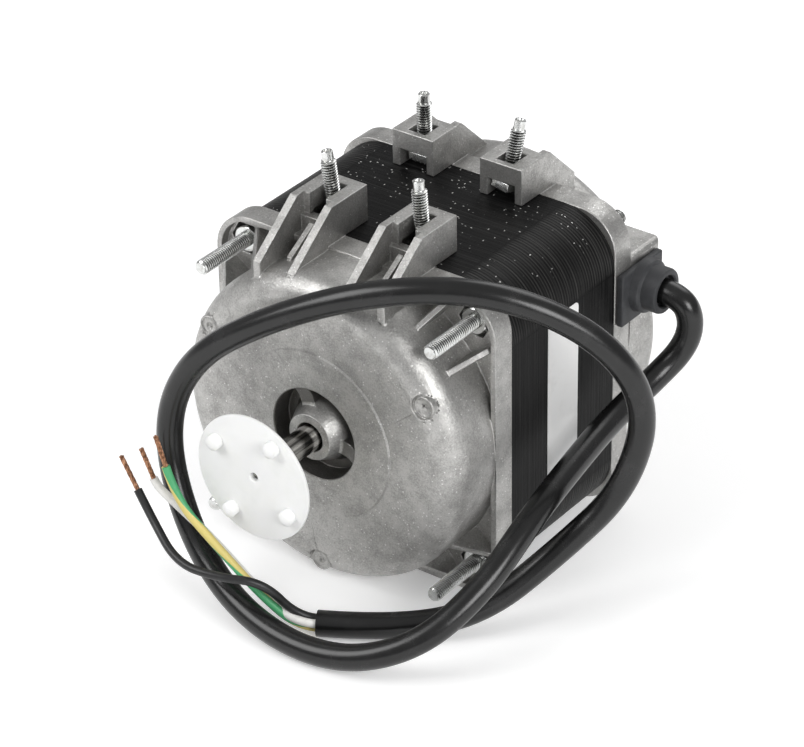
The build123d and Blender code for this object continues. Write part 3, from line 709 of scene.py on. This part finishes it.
def threaded(radius: float, pitch: float, length: float, chamfer: float) -> Shape:
    """A right-handed outside thread along Z, from 0 to its length, with chamfered ends.

    Args:
        radius: Outer radius.
        pitch: Rise in one turn.
        length: Length of the thread.
        chamfer: Depth of the chamfer at each end.

    Returns:
        The closed shape: a zigzag spun up one pitch a turn, cut square at both ends.
    """
    root = radius - THREAD_DEPTH * pitch
    tooth = ((root, 0.0), (root, 0.2), (radius, 0.52), (radius, 0.68))
    spare_below, spare_in_all = 1.5, 4
    feet = [(turn - spare_below) * pitch for turn in range(int(length / pitch) + spare_in_all)]
    profile = [(reach, foot + share * pitch) for foot in feet for reach, share in tooth]
    shape = spun(profile, THREAD_FACETS, pitch)
    bmesh.ops.remove_doubles(shape, verts=shape.verts, dist=0.02 * pitch)
    for height, direction in ((0.0, -1), (length, 1)):
        everything = list(shape.verts) + list(shape.edges) + list(shape.faces)
        bmesh.ops.bisect_plane(
            shape, geom=everything, plane_co=(0, 0, height), plane_no=(0, 0, direction), clear_outer=True
        )
        rim = [edge for edge in shape.edges if edge.is_boundary and abs(edge.verts[0].co.z - height) < MERGE]
        bmesh.ops.edgeloop_fill(shape, edges=rim)
    limit_radius(shape, lambda height, _: radius - chamfer + max(0.0, min(height, length - height)))
    # Marks the thread roots, which the zinc finish darkens as painted shade; the ends stay unmarked.
    layer = shape.verts.layers.float.new(Mark.THREAD_ROOT.value)
    off_axis, root_top, bright_end = 0.5 * root, root + 0.3 * (radius - root), 1.2 * chamfer
    for vertex in shape.verts:
        deep = off_axis < vertex.co.xy.length < root_top
        if deep and bright_end < vertex.co.z < length - bright_end:
            vertex[layer] = 1.0
    bmesh.ops.recalc_face_normals(shape, faces=shape.faces)
    return shape


def swept(path: Sequence[Vector], radius: float, sides: int = 16) -> Shape:
    """A round tube with closed ends along a path, without twist.

    Args:
        path: Points of the path.
        radius: The tube's radius.
        sides: Facets round the tube.

    Returns:
        The closed shape. Its rings follow each other in the order of the path, each of this many vertices.
    """
    shape = bmesh.new()
    headings = [(after - before).normalized() for before, after in zip(path, path[1:])]
    headings.append(headings[-1])
    start = upright(path[0], headings[0])
    bmesh.ops.create_circle(shape, cap_ends=False, radius=radius, segments=sides, matrix=start)
    edges = list(shape.edges)
    bmesh.ops.edgeloop_fill(shape, edges=edges)
    for before, after, old, new in zip(path, path[1:], headings, headings[1:]):
        grown = bmesh.ops.extrude_edge_only(shape, edges=edges)["geom"]
        ring = [item for item in grown if isinstance(item, bmesh.types.BMVert)]
        lines = [item for item in grown if isinstance(item, bmesh.types.BMEdge)]
        edges = [line for line in lines if all(vertex in ring for vertex in line.verts)]
        turn = old.rotation_difference(new).to_matrix().to_4x4()
        bmesh.ops.transform(
            shape, verts=ring, matrix=Matrix.Translation(after) @ turn @ Matrix.Translation(-Vector(before))
        )
    bmesh.ops.edgeloop_fill(shape, edges=edges)
    bmesh.ops.recalc_face_normals(shape, faces=shape.faces)
    return shape


def sharpen(mesh: bpy.types.Mesh, angle: float = 35.0) -> None:
    """Smooth shading, with edges sharper than an angle in degrees left crisp."""
    mesh.shade_smooth()
    mesh.set_sharp_from_angle(angle=math.radians(angle))


def add_piece(name: str, shape: Shape, finish: Finish, body: Body, slot: str, *nodes: str) -> Object:
    """Makes an object of a finished shape, links and dresses it, and puts it in its body.

    Args:
        name: Name of the piece.
        shape: Its shape in millimetres, which is used up.
        finish: Its finish.
        body: The body that it moves with.
        slot: The record's material slot; not used.
        nodes: CAD nodes that it stands for.

    Returns:
        The object.
    """
    mesh = bpy.data.meshes.new(name)
    shape.to_mesh(mesh)
    shape.free()
    mesh.transform(Matrix.Scale(MM, 4))
    sharpen(mesh)
    piece = bpy.data.objects.new(name, mesh)
    return register(piece, finish, body, slot, *nodes)


def register(piece: Object, finish: Finish, body: Body, slot: str, *nodes: str) -> Object:
    """Links a piece, dresses it, puts it in its body, and hides the CAD nodes that it stands for."""
    bpy.context.scene.collection.objects.link(piece)
    piece.data.materials.clear()
    piece.data.materials.append(finish.material())
    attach(piece, body.value)
    if nodes:
        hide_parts(*nodes)
    LOG.info("%s: %s, on %s", piece.name, finish.name, body.value)
    return piece


@dataclass(frozen=True)
class Studio:
    """Camera, floor, lamps and surroundings."""

    lens: float = 156.716
    sensor: float = 36.0
    azimuth: float = 37.16
    elevation: float = 31.60
    roll: float = -1.09
    distance: float = 894.07
    target: Point = (0.0, 17.53, -0.81)
    floor_height: float = -43.15
    floor_size: float = 9.0
    lit_floor: float = 900.0
    near_glow: Colour = (0.27, 0.27, 0.27)
    far_glow: Colour = (0.65, 0.65, 0.65)
    room_side: Colour = (0.3, 0.3, 0.31)
    room_top: Colour = (0.5, 0.5, 0.5)
    room_top_height: float = 0.8
    clip: Span = (0.01, 50.0)
    paper_lit: Colour = (0.62, 0.62, 0.62)
    paper_seen: Colour = (0.93, 0.93, 0.93)
    lamps: tuple[tuple[str, Point, Point, float, float], ...] = (
        ("key", (-0.6, -0.75, 0.8), (0.0, 0.0, 0.0), 0.7, 7.5),
        ("side", (0.95, -0.35, 0.5), (0.0, 0.02, 0.0), 0.5, 6.6),
        ("back", (-0.1, 0.9, 0.75), (0.0, 0.05, 0.0), 0.7, 3.0),
    )

    def camera(self) -> None:
        """Sets the camera at the photograph's place."""
        az, el, roll = (math.radians(angle) for angle in (self.azimuth, self.elevation, self.roll))
        back = Vector((math.sin(az) * math.cos(el), -math.cos(az) * math.cos(el), math.sin(el)))
        right = (-back).cross(Vector((0, 0, 1))).normalized()
        up = right.cross(-back)
        turned_right = math.cos(roll) * right + math.sin(roll) * up
        turned_up = math.cos(roll) * up - math.sin(roll) * right
        pose = Matrix((turned_right, turned_up, back)).transposed().to_4x4()
        data = bpy.data.cameras.new("camera")
        data.lens, data.sensor_width, data.sensor_fit = self.lens, self.sensor, "HORIZONTAL"
        data.clip_start, data.clip_end = self.clip
        camera = bpy.data.objects.new("camera", data)
        camera.matrix_world = Matrix.Translation((Vector(self.target) + back * self.distance) * MM) @ pose
        bpy.context.scene.collection.objects.link(camera)
        bpy.context.scene.camera = camera

    def floor(self) -> None:
        """A white sweep that keeps the motor's shadow."""
        shape = bmesh.new()
        place = Matrix.Translation((0, 0, self.floor_height * MM))
        bmesh.ops.create_grid(shape, x_segments=1, y_segments=1, size=self.floor_size, matrix=place)
        mesh = bpy.data.meshes.new("floor")
        shape.to_mesh(mesh)
        shape.free()
        shader = Shader(bpy.data.materials.new("white_paper"))
        path = shader.node("ShaderNodeLightPath")
        rays = path.link.node.outputs
        seen = Socket(shader, rays["Is Camera Ray"]) + Socket(shader, rays["Is Glossy Ray"])
        seen = (seen + Socket(shader, rays["Is Transmission Ray"])).least(1.0)
        paper = shader.mix(seen, self.paper_lit, self.paper_seen)
        x, y, _ = shader.axes()
        far = (x * x + y * y).root().step(self.lit_floor, 2 * self.lit_floor)
        glow = shader.mix(seen, (0.0, 0.0, 0.0), shader.mix(far, self.near_glow, self.far_glow))
        shader.finish(Base_Color=paper, Roughness=0.9, Specular_IOR_Level=0.0)
        mesh.materials.append(shader.finish(Emission_Color=glow, Emission_Strength=1.0))
        floor = bpy.data.objects.new("floor", mesh)
        bpy.context.scene.collection.objects.link(floor)

    def lamp(self, name: str, place: Point, aim: Point, size: float, power: float) -> None:
        """A square soft lamp.

        Args:
            name: The lamp's name.
            place: Where it stands, in metres.
            aim: The point it is turned to, in metres.
            size: Side of its square, in metres.
            power: Its power in watts.
        """
        data = bpy.data.lights.new(name, "AREA")
        data.shape, data.size, data.energy = "SQUARE", size, power
        lamp = bpy.data.objects.new(name, data)
        lamp.matrix_world = upright(place, Vector(place) - Vector(aim))
        bpy.context.scene.collection.objects.link(lamp)

    def surroundings(self) -> None:
        """A pale room that is brighter overhead than at its sides."""
        bpy.context.scene.world = bpy.data.worlds.new("studio")
        shader = Shader(bpy.context.scene.world, "Background")
        split = shader.node("ShaderNodeSeparateXYZ", {0: shader.node("ShaderNodeTexCoord")}, output=2)
        stops = ((0.0, self.room_side), (self.room_top_height, self.room_top))
        shader.finish(Color=shader.node("ShaderNodeValToRGB", {0: split}, stops=stops))

    def build(self) -> None:
        """Sets up everything that isn't the motor."""
        bpy.context.scene.view_settings.view_transform = "Standard"
        self.camera()
        self.floor()
        self.surroundings()
        for lamp in self.lamps:
            self.lamp(*lamp)


@dataclass(frozen=True)
class EndBell:
    """A die-cast end bell: the CAD's shape with every edge softened as a casting's is."""

    node: str
    edge: float = 0.25
    edge_segments: int = 2
    shortest: float = 0.04
    sharp_angle: float = 32.0

    def build(self) -> None:
        """Copies the CAD mesh, merges it and rounds its edges."""
        shape = bmesh.new()
        shape.from_mesh(frame["nodes"][self.node].data)
        bmesh.ops.transform(shape, matrix=Matrix.Scale(1 / MM, 4), verts=shape.verts)
        bmesh.ops.remove_doubles(shape, verts=shape.verts, dist=self.shortest)
        piece = add_piece(f"{self.node}_casting", shape, CASTING, Body.STATOR, "die_cast", self.node)
        bevel = piece.modifiers.new("soft_edges", "BEVEL")
        bevel.width = self.edge * MM
        bevel.segments = self.edge_segments
        bevel.limit_method = "ANGLE"
        bevel.angle_limit = math.radians(self.sharp_angle)
        bevel.use_clamp_overlap = False
        weighted = piece.modifiers.new("flat_faces", "WEIGHTED_NORMAL")
        weighted.keep_sharp = True


@dataclass(frozen=True)
class LaminationStack:
    """The stack's sheet edges: ninety thin plates that stand a little out of the solid stack."""

    front: float = 5.0
    length: float = 45.0
    count: int = 90
    inner_half_width: float = 42.9
    outer_half_width: float = 43.05
    corner_radius: float = 15.15
    corner_segments: int = 16
    gap: float = 0.06
    scatter: float = 0.035
    seed: int = 7

    def sheet(self) -> Shape:
        """The rim of one sheet, in its plane across Y at Y = 0."""
        shape = bmesh.new()
        lying = Matrix.Rotation(math.radians(90), 4, "X")
        bmesh.ops.create_grid(shape, x_segments=1, y_segments=1, size=self.outer_half_width, matrix=lying)
        round_corners(shape, self.corner_radius, self.corner_segments)
        width = self.outer_half_width - self.inner_half_width
        bmesh.ops.inset_individual(shape, faces=list(shape.faces), thickness=width, use_even_offset=True)
        middle = max(shape.faces, key=lambda face: face.calc_area())
        bmesh.ops.delete(shape, geom=[middle], context="FACES")
        thickness = self.length / self.count - self.gap
        bmesh.ops.solidify(shape, geom=list(shape.faces), thickness=thickness)
        bmesh.ops.recalc_face_normals(shape, faces=shape.faces)
        lowest = min(vertex.co.y for vertex in shape.verts)
        bmesh.ops.translate(shape, verts=shape.verts, vec=(0, -lowest, 0))
        return shape

    def build(self) -> None:
        """Stacks the sheets, each a hair larger or smaller than the next."""
        chance = random.Random(self.seed)
        pitch = self.length / self.count
        sheet = self.sheet()
        places = []
        for index in range(self.count):
            scale = 1 - self.scatter * chance.random() / self.outer_half_width
            shift = Matrix.Translation((0, self.front + index * pitch + self.gap / 2, 0))
            places.append((sheet, shift @ Matrix.Diagonal((scale, 1, scale, 1))))
        add_piece("lamination_edges", joined(places), LAMINATIONS, Body.STATOR, "laminations")


@dataclass(frozen=True)
class Nut:
    """A plated hexagon nut with chamfered corners."""

    flats: float = 7.0
    height: float = 3.2
    bore: float = 1.77
    chamfer: float = 0.3
    segments: int = 48
    blank_margin: float = 1.1
    levels: tuple[float, ...] = (0.0, 0.25, 0.6)
    cone_start: float = 0.95
    cone_slope: float = 1.4

    def shape(self) -> Shape:
        """The nut standing on Z = 0."""
        apothem = self.flats / 2
        reach = self.blank_margin * apothem / math.cos(TURN / 12)
        profile = [(self.bore, self.chamfer), (self.bore + self.chamfer, 0.0)]
        profile += [(reach, height) for height in self.levels]
        profile += [(reach, self.height - height) for height in reversed(self.levels)]
        profile += [(self.bore + self.chamfer, self.height), (self.bore, self.height - self.chamfer)]
        shape = turned(profile, self.segments)

        def hexagon(height: float, angle: float) -> float:
            """Largest radius of the hexagon inside the chamfer's cone."""
            across = apothem / math.cos((angle + TURN / 12) % (TURN / 6) - TURN / 12)
            depth = max(0.0, min(height, self.height - height))
            return min(across, self.cone_start * apothem + self.cone_slope * depth)

        limit_radius(shape, hexagon)
        return shape


@dataclass(frozen=True)
class TieRods:
    """Four long rods, threaded at both ends, and their eight nuts."""

    spacing: float = 70.5
    radius: float = 2.0
    shank: float = 1.77
    pitch: float = 0.7
    front_tip: float = -18.1
    front_nut: float = 0.0
    rear_nut: float = 55.0
    rear_tip: float = 64.0
    chamfer: float = 0.5
    turn_apart: float = 0.7

    def build(self) -> None:
        """Rods and nuts, each set as one piece."""
        places = [(x * self.spacing / 2, z * self.spacing / 2) for x in (-1, 1) for z in (-1, 1)]
        nut = Nut()
        front = threaded(self.radius, self.pitch, self.front_nut - self.front_tip, self.chamfer)
        rear = threaded(self.radius, self.pitch, self.rear_tip - self.rear_nut, self.chamfer)
        shank = bar(self.shank, self.rear_nut - self.front_nut)
        hexagon = nut.shape()
        rods, nuts = [], []
        for index, (x, z) in enumerate(places):
            turn = Matrix.Rotation(self.turn_apart * index, 4, "Z")
            rods.append((front, upright((x, self.front_nut, z), (0, -1, 0)) @ turn))
            rods.append((rear, upright((x, self.rear_nut, z), (0, 1, 0)) @ turn))
            rods.append((shank, upright((x, self.front_nut, z), (0, 1, 0))))
            for height in (self.front_nut, self.rear_nut - nut.height):
                nuts.append((hexagon, upright((x, height, z), (0, 1, 0))))
        add_piece("tie_rod_threads", joined(rods), ZINC, Body.STATOR, "zinc_steel", "tie_rods")
        add_piece("hexagon_nuts", joined(nuts), ZINC, Body.STATOR, "zinc_steel", "tie_rod_nuts")


@dataclass(frozen=True)
class BaseStuds:
    """Four studs in the lugs' slots: a square head, a neck, a thread and a dog point."""

    radius: float = 2.0
    pitch: float = 0.7
    thread_length: float = 7.3
    neck_radius: float = 1.75
    thread_in_slot: float = 2.6
    thread_chamfer: float = 0.35
    dog_radius: float = 1.5
    dog_length: float = 2.4
    dog_edge: float = 0.2
    hollow_radius: float = 0.95
    hollow_depth: float = 0.7
    head_width: float = 6.0
    head_height: float = 2.4
    head_lift: float = 1.3
    head_edge: float = 0.3
    pivot_height: float = 51.8
    lug_top: float = 53.3
    stack_top: float = 43.15
    lean_places: tuple[tuple[float, ...], ...] = (
        (-13.7, 8.55, -7.5, 0.0),
        (13.7, 8.55, -6.0, 2.5),
        (-13.7, 47.05, 0.0, 0.0),
        (13.7, 47.05, 3.5, 14.0),
    )

    def build(self) -> None:
        """The studs, each leaning as it lies in its slot."""
        length = self.thread_in_slot + self.thread_length
        thread = threaded(self.radius, self.pitch, length, self.thread_chamfer)
        dog, top, edge, hollow = self.dog_radius, self.dog_length, self.dog_edge, self.hollow_radius
        outline = [(0, -edge), (dog, -edge), (dog, top - edge), (dog - edge, top), (hollow, top)]
        outline += [(hollow - edge, top - self.hollow_depth), (0, top - self.hollow_depth)]
        tip = turned(outline, 32)
        half = self.head_width / 2
        head = block((-half, -half, 0), (half, half, self.head_height), self.head_edge)
        parts = []
        for x, y, lean_x, lean_y in self.lean_places:
            up = Vector((math.tan(math.radians(lean_x)), math.tan(math.radians(lean_y)), 1)).normalized()
            pivot = Vector((x, y, self.pivot_height))
            foot = pivot - up * (self.pivot_height - self.stack_top - self.head_lift)
            neck_length = (self.lug_top - foot.z) / up.z - self.head_height - self.thread_in_slot
            neck_top = self.head_height + neck_length
            neck = bar(self.neck_radius, neck_length)
            heights = (0.0, self.head_height, neck_top, neck_top + length)
            for shape, height in zip((head, neck, thread, tip), heights):
                parts.append((shape, upright(foot, up) @ Matrix.Translation((0, 0, height))))
        add_piece("base_stud_threads", joined(parts), ZINC, Body.STATOR, "zinc_steel", "base_studs")


@dataclass(frozen=True)
class ShaftAndDisc:
    """The ground shaft and the nylon hub disc on its front end."""

    shaft_radius: float = 3.5
    shaft_front: float = -41.7
    shaft_rear: float = 67.0
    tip_chamfer: float = 0.5
    face: float = -43.5
    thickness: float = 1.8
    radius: float = 17.1
    rim_thickness: float = 0.9
    rim: float = 0.25
    dish: float = 0.4
    hole_radius: float = 1.2
    countersink: float = 0.2
    boss_radius: float = 5.5
    boss_length: float = 5.0
    boss_foot: float = 0.5
    boss_edge: float = 0.4
    rim_softness: float = 0.3
    peg_radius: float = 2.0
    peg_height: float = 2.5
    peg_dome: float = 0.9
    dome_steps: int = 8
    peg_circle: float = 13.0
    peg_first_angle: float = 58.4

    def build(self) -> None:
        """Shaft and disc, both on the rotor."""
        length, radius, tip = self.shaft_rear - self.shaft_front, self.shaft_radius, self.tip_chamfer
        outline = [(0, 0), (radius - tip, 0), (radius, tip), (radius, length - tip)]
        outline += [(radius - tip, length), (0, length)]
        shaft = joined([(turned(outline, 72), upright((0, self.shaft_front, 0), (0, 1, 0)))])
        add_piece("ground_shaft", shaft, SHAFT_STEEL, Body.ROTOR, "shaft_steel", "shaft")

        thick, rim, hole, dish = self.thickness, self.rim, self.hole_radius, self.dish
        outer, boss, soft = self.radius, self.boss_radius, self.rim_softness * self.rim
        boss_end, rim_end = thick + self.boss_length, self.rim_thickness
        outline = [(hole, dish + self.countersink), (hole + self.countersink, dish), (outer - rim, 0.0)]
        outline += [(outer - soft, soft), (outer, rim), (outer, rim_end - rim)]
        outline += [(outer - soft, rim_end - soft), (outer - rim, rim_end)]
        outline += [(boss + self.boss_foot, thick), (boss, thick + self.boss_foot)]
        outline += [(boss, boss_end - self.boss_edge), (boss - self.boss_edge, boss_end), (radius, boss_end)]
        outline += [(radius, thick), (hole, thick)]
        disc = turned(outline, 96)
        outline = [(0, -self.dish), (self.peg_radius, -self.dish)]
        for step in range(self.dome_steps + 1):
            angle = TURN / 4 * step / self.dome_steps
            height = self.peg_height - self.peg_dome * (1 - math.sin(angle))
            outline.append((self.peg_radius * math.cos(angle), height))
        peg = turned(outline, 40)
        parts = [(disc, upright((0, self.face, 0), (0, 1, 0)))]
        for index in range(4):
            angle = math.radians(self.peg_first_angle + 90 * index)
            place = (self.peg_circle * math.cos(angle), self.face, self.peg_circle * math.sin(angle))
            parts.append((peg, upright(place, (0, -1, 0))))
        add_piece("nylon_hub_disc", joined(parts), NYLON, Body.ROTOR, "nylon", "hub_disc")


@dataclass(frozen=True)
class Grommet:
    """The rubber cable grommet: plate, neck in the window, inner flange, round boss and hollow tube."""

    face: float = 43.15
    front: float = 50.6
    back: float = 69.0
    bottom: float = 11.9
    top: float = 26.4
    plate: float = 2.0
    axis: Span = (60.5, 20.2)
    boss_radius: float = 7.2
    boss_shoulder: float = 3.6
    boss_end: float = 4.15
    tube_radius: float = 6.1
    tube_foot: float = 4.4
    tube_foot_end: float = 4.75
    reach: float = 52.0
    mouth_radius: float = 4.3
    mouth_depth: float = 2.0
    wall: float = 3.0
    lip: float = 1.45
    inner_flange: float = 1.5
    flange_inset: float = 0.95
    sunk: float = 0.2
    plate_edge: float = 0.45
    neck_edge: float = 0.1
    flange_edge: float = 0.3

    def build(self) -> None:
        """All of the grommet as one piece."""
        low, high = (self.face, self.front, self.bottom), (self.face + self.plate, self.back, self.top)
        neck_low = (self.face - self.wall, self.front + self.lip, self.bottom + self.lip)
        neck_high = (self.face + self.sunk, self.back - self.lip, self.top - self.lip)
        inner, inset = self.face - self.wall, self.flange_inset
        flange_low = (inner - self.inner_flange, self.front + inset, self.bottom + inset)
        flange_high = (inner, self.back - inset, self.top - inset)
        boss, tube, mouth = self.boss_radius, self.tube_radius, self.mouth_radius
        length, foot = self.reach - self.face, self.plate - self.sunk
        mouth_floor = length - self.mouth_depth
        outline = [(0, foot), (boss + 0.25, foot), (boss, self.plate + 0.3), (boss, self.boss_shoulder)]
        outline += [(boss - 0.2, self.boss_end), (tube + 0.35, self.tube_foot), (tube, self.tube_foot_end)]
        outline += [(tube, length - 0.75), (tube - 0.2, length - 0.25), (tube - 0.6, length)]
        outline += [(mouth + 0.35, length), (mouth, length - 0.35), (mouth, mouth_floor), (0, mouth_floor)]
        horn = turned(outline)
        parts = [
            (block(low, high, self.plate_edge), Matrix()),
            (block(neck_low, neck_high, self.neck_edge), Matrix()),
            (block(flange_low, flange_high, self.flange_edge), Matrix()),
            (horn, upright((self.face, *self.axis), (1, 0, 0))),
        ]
        shape = joined(parts)
        add_piece("moulded_grommet", shape, GROMMET_RUBBER, Body.STATOR, "grommet_rubber", "cable_grommet")


@dataclass(frozen=True)
class BlankLabel:
    """A blank film label on the side of the stack."""

    inner: float = 43.04
    outer: float = 43.15
    front: float = 20.5
    back: float = 33.7
    bottom: float = -24.0
    top: float = 27.5
    corner: float = 1.5
    corner_segments: int = 6

    def build(self) -> None:
        """The film with its rounded corners."""
        shape = bmesh.new()
        size = Matrix.Diagonal((1, self.back - self.front, self.top - self.bottom, 1))
        middle = (self.inner, (self.back + self.front) / 2, (self.top + self.bottom) / 2)
        standing = Matrix.Translation(middle) @ size @ Matrix.Rotation(math.radians(90), 4, "Y")
        bmesh.ops.create_grid(shape, x_segments=1, y_segments=1, size=0.5, matrix=standing)
        round_corners(shape, self.corner, self.corner_segments)
        grown = bmesh.ops.extrude_face_region(shape, geom=list(shape.faces))["geom"]
        moved = [item for item in grown if isinstance(item, bmesh.types.BMVert)]
        bmesh.ops.translate(shape, verts=moved, vec=(self.outer - self.inner, 0, 0))
        bmesh.ops.recalc_face_normals(shape, faces=shape.faces)
        add_piece("blank_label", shape, LABEL, Body.STATOR, "label_paper", "rating_label")


@dataclass(frozen=True)
class Route:
    """A cord's line: control points given in millimetres."""

    points: tuple[Point, ...]

    def curve(self, name: str, radius: float = 0.0) -> Object:
        """The smooth spline through the route, as a round cord where it has a radius.

        Args:
            name: Name of the object.
            radius: Radius of the cord in millimetres.

        Returns:
            The curve object, not yet linked.
        """
        data = bpy.data.curves.new(name, "CURVE")
        data.dimensions = "3D"
        spline = data.splines.new("NURBS")
        spline.points.add(len(self.points) - 1)
        for point, place in zip(spline.points, self.points):
            point.co = (*(Vector(place) * MM), 1)
        spline.order_u = 3
        spline.use_endpoint_u = True
        data.resolution_u = spline.resolution_u = 16
        data.bevel_depth = radius * MM
        data.bevel_resolution = 8
        data.use_fill_caps = True
        return bpy.data.objects.new(name, data)

    def sampled(self) -> list[Vector]:
        """Points along the spline, in millimetres."""
        guide = self.curve("guide")
        line = bpy.data.meshes.new_from_object(guide)
        path = [vertex.co / MM for vertex in line.vertices]
        bpy.data.objects.remove(guide)
        bpy.data.meshes.remove(line)
        return path


@dataclass(frozen=True)
class CopperEnd:
    """The bared end of a core: strands twisted round one in the middle."""

    name: str
    node: str
    length: float
    radius: float = 0.65
    strand_radius: float = 0.215
    strands: int = 6
    twist: float = 0.9
    steps: int = 20
    uneven: float = 0.05
    slack: float = 0.03
    slack_waves: float = 5.0
    strand_sides: int = 8
    seed: int = 1

    def build(self, start: Vector, heading: Vector) -> Object:
        """Strands from the cut edge of the insulation on.

        Args:
            start: Middle of the cut edge.
            heading: Direction of the core there.

        Returns:
            The piece.
        """
        chance = random.Random(self.seed)
        parts = []
        for strand in range(self.strands + 1):
            reach = 0.0 if strand == self.strands else self.radius - self.strand_radius
            length = self.length * (1 - self.uneven * chance.random())
            path = []
            for step in range(self.steps + 1):
                share = step / self.steps
                angle = TURN * (strand / self.strands + self.twist * share)
                wave = math.sin(self.slack_waves * share + strand)
                loose = reach * (1 - self.slack + self.slack * wave)
                path.append(Vector((loose * math.cos(angle), loose * math.sin(angle), length * share)))
            shape = swept(path, self.strand_radius, self.strand_sides)
            parts.append((shape, upright(start, heading)))
        return add_piece(self.name, joined(parts), COPPER, Body.STATOR, "bare_copper", self.node)


@dataclass(frozen=True)
class Core:
    """One insulated core of the cord, from the cut end of the cord to its own cut end."""

    name: str
    finish: Finish
    slot: str
    length: float
    bare: float
    route: Route
    seed: int
    radius: float = 1.1
    striped: bool = False
    stripe_turns: float = 1.25
    stripe_start: float = 2.2
    sides: int = 20

    def build(self) -> None:
        """The core and its copper end; the core's facts are gathered in a table that is not passed on."""
        path = self.route.sampled()
        heading = (path[-1] - path[-2]).normalized()
        copper = CopperEnd(f"{self.name}_strands", f"{self.name}_copper", self.bare, seed=self.seed)
        facts = {
            "exit": tuple(path[0] * MM),
            "length": self.length * MM,
            "diameter": 2 * self.radius * MM,
            "far_end": "bare",
            "stiffness": "medium",
            "lay": "loose",
            "with_pieces": [copper.build(path[-1], heading)],
        }
        if self.striped:
            shape = self.tube(path)
            piece = add_piece(f"{self.name}_skin", shape, self.finish, Body.STATOR, self.slot, self.name)
        else:
            piece = self.route.curve(f"{self.name}_skin", self.radius)
            register(piece, self.finish, Body.STATOR, self.slot, self.name)

    def tube(self, path: Sequence[Vector]) -> Shape:
        """A tube whose own attribute says on which side the stripe is."""
        shape = swept(path, self.radius, self.sides)
        layer = shape.verts.layers.float.new(Mark.STRIPE_SIDE.value)
        shape.verts.index_update()
        for vertex in shape.verts:
            ring, place = divmod(vertex.index, self.sides)
            share = place / self.sides + self.stripe_turns * ring / len(path)
            vertex[layer] = math.cos(TURN * share + self.stripe_start)
        return shape


@dataclass(frozen=True)
class SupplyCord:
    """The rubber supply cord with its one standing loop, and the three cores at its cut end."""

    radius: float = 3.4
    length: float = 510.4
    exit_reach: float = 52.0
    core_straight: float = 5.0
    route: Route = Route(
        (
            (50, 60.5, 20.2), (56.5, 60.5, 20.2), (59.5, 61, 14), (58, 60, 6), (54, 52.5, -0.8), (52, 37, -5),
            (54, 17, -7), (56, -5, -11), (55, -24, -22), (47, -41, -33), (28, -50, -39.75), (2, -50, -38),
            (-22, -42, -28), (-35, -36, -3), (-27, -33, 20), (-4, -28, 37), (22, -20, 49), (47, -7, 51),
            (67, 8, 38), (76, 16, 18), (71, 14, -7), (59, 3, -24), (48, -15, -37), (32, -30, -39.75),
            (15, -39, -39.75),
        )
    )
    black: tuple[Point, ...] = (
        (5, -47, -27), (-5, -53, -26), (-17, -54, -26), (-29.6, -47.8, -21.3), (-35.3, -46.3, -15.3)
    )
    white: tuple[Point, ...] = (
        (2, -43, -35), (-13, -44, -23), (-23, -46, -15), (-29.1, -46, -12), (-30, -46, -10)
    )
    green: tuple[Point, ...] = ((3, -45, -33.5), (-11, -47, -21), (-21, -48, -12), (-24, -48, -3.2))

    def core_route(self, across: float, above: float, points: tuple[Point, ...]) -> Route:
        """A core's route from its place in the cord's cut end.

        Args:
            across: Its place beside the cord's middle.
            above: Its place above the cord's middle.
            points: The rest of its route.

        Returns:
            The route.
        """
        end, before = Vector(self.route.points[-1]), Vector(self.route.points[-2])
        heading = (end - before).normalized()
        start = end + heading.cross(Vector((0, 0, 1))) * across + Vector((0, 0, above))
        return Route((tuple(start), tuple(start + heading * self.core_straight), *points))

    def build(self) -> None:
        """The cord and its cores."""
        cord = self.route.curve("supply_cord", self.radius)
        register(cord, CORD_RUBBER, Body.STATOR, "cord_rubber", "power_cord")
        exit_place = Vector((self.exit_reach, *self.route.points[0][1:])) * MM
        2 * self.radius * MM
        black = self.core_route(across=1.1, above=0.75, points=self.black)
        white = self.core_route(across=-1.2, above=0.6, points=self.white)
        green = self.core_route(across=0.0, above=-1.3, points=self.green)
        cores = (
            Core("black_core", BLACK_CORE, "core_black", length=64.9, bare=9.7, route=black, seed=3),
            Core("white_core", WHITE_CORE, "core_white", length=56.1, bare=8.4, route=white, seed=4),
            Core("green_yellow_core", STRIPED_CORE, "core_green", 59.1, 8.6, green, seed=5, striped=True),
        )
        for core in cores:
            core.build()


def dress_cad_nodes() -> None:
    """Gives every CAD node the finish of its slot in the record."""
    for entry in frame["record"]["subparts"]:
        node = frame["nodes"][entry["node"]]
        for slot in node.material_slots:
            slot.material = SLOT_FINISHES[entry["material_slot"]].material()


def main() -> None:
    """Builds the studio and the motor."""
    logging.basicConfig(level=logging.INFO, format="%(name)s %(message)s")
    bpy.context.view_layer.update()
    Studio().build()
    dress_cad_nodes()
    SupplyCord().build()
    for node in ("front_end_bell", "rear_end_bell"):
        EndBell(node).build()
    LaminationStack().build()
    TieRods().build()
    BaseStuds().build()
    ShaftAndDisc().build()
    Grommet().build()
    BlankLabel().build()


if __name__ == "__main__":
    main()
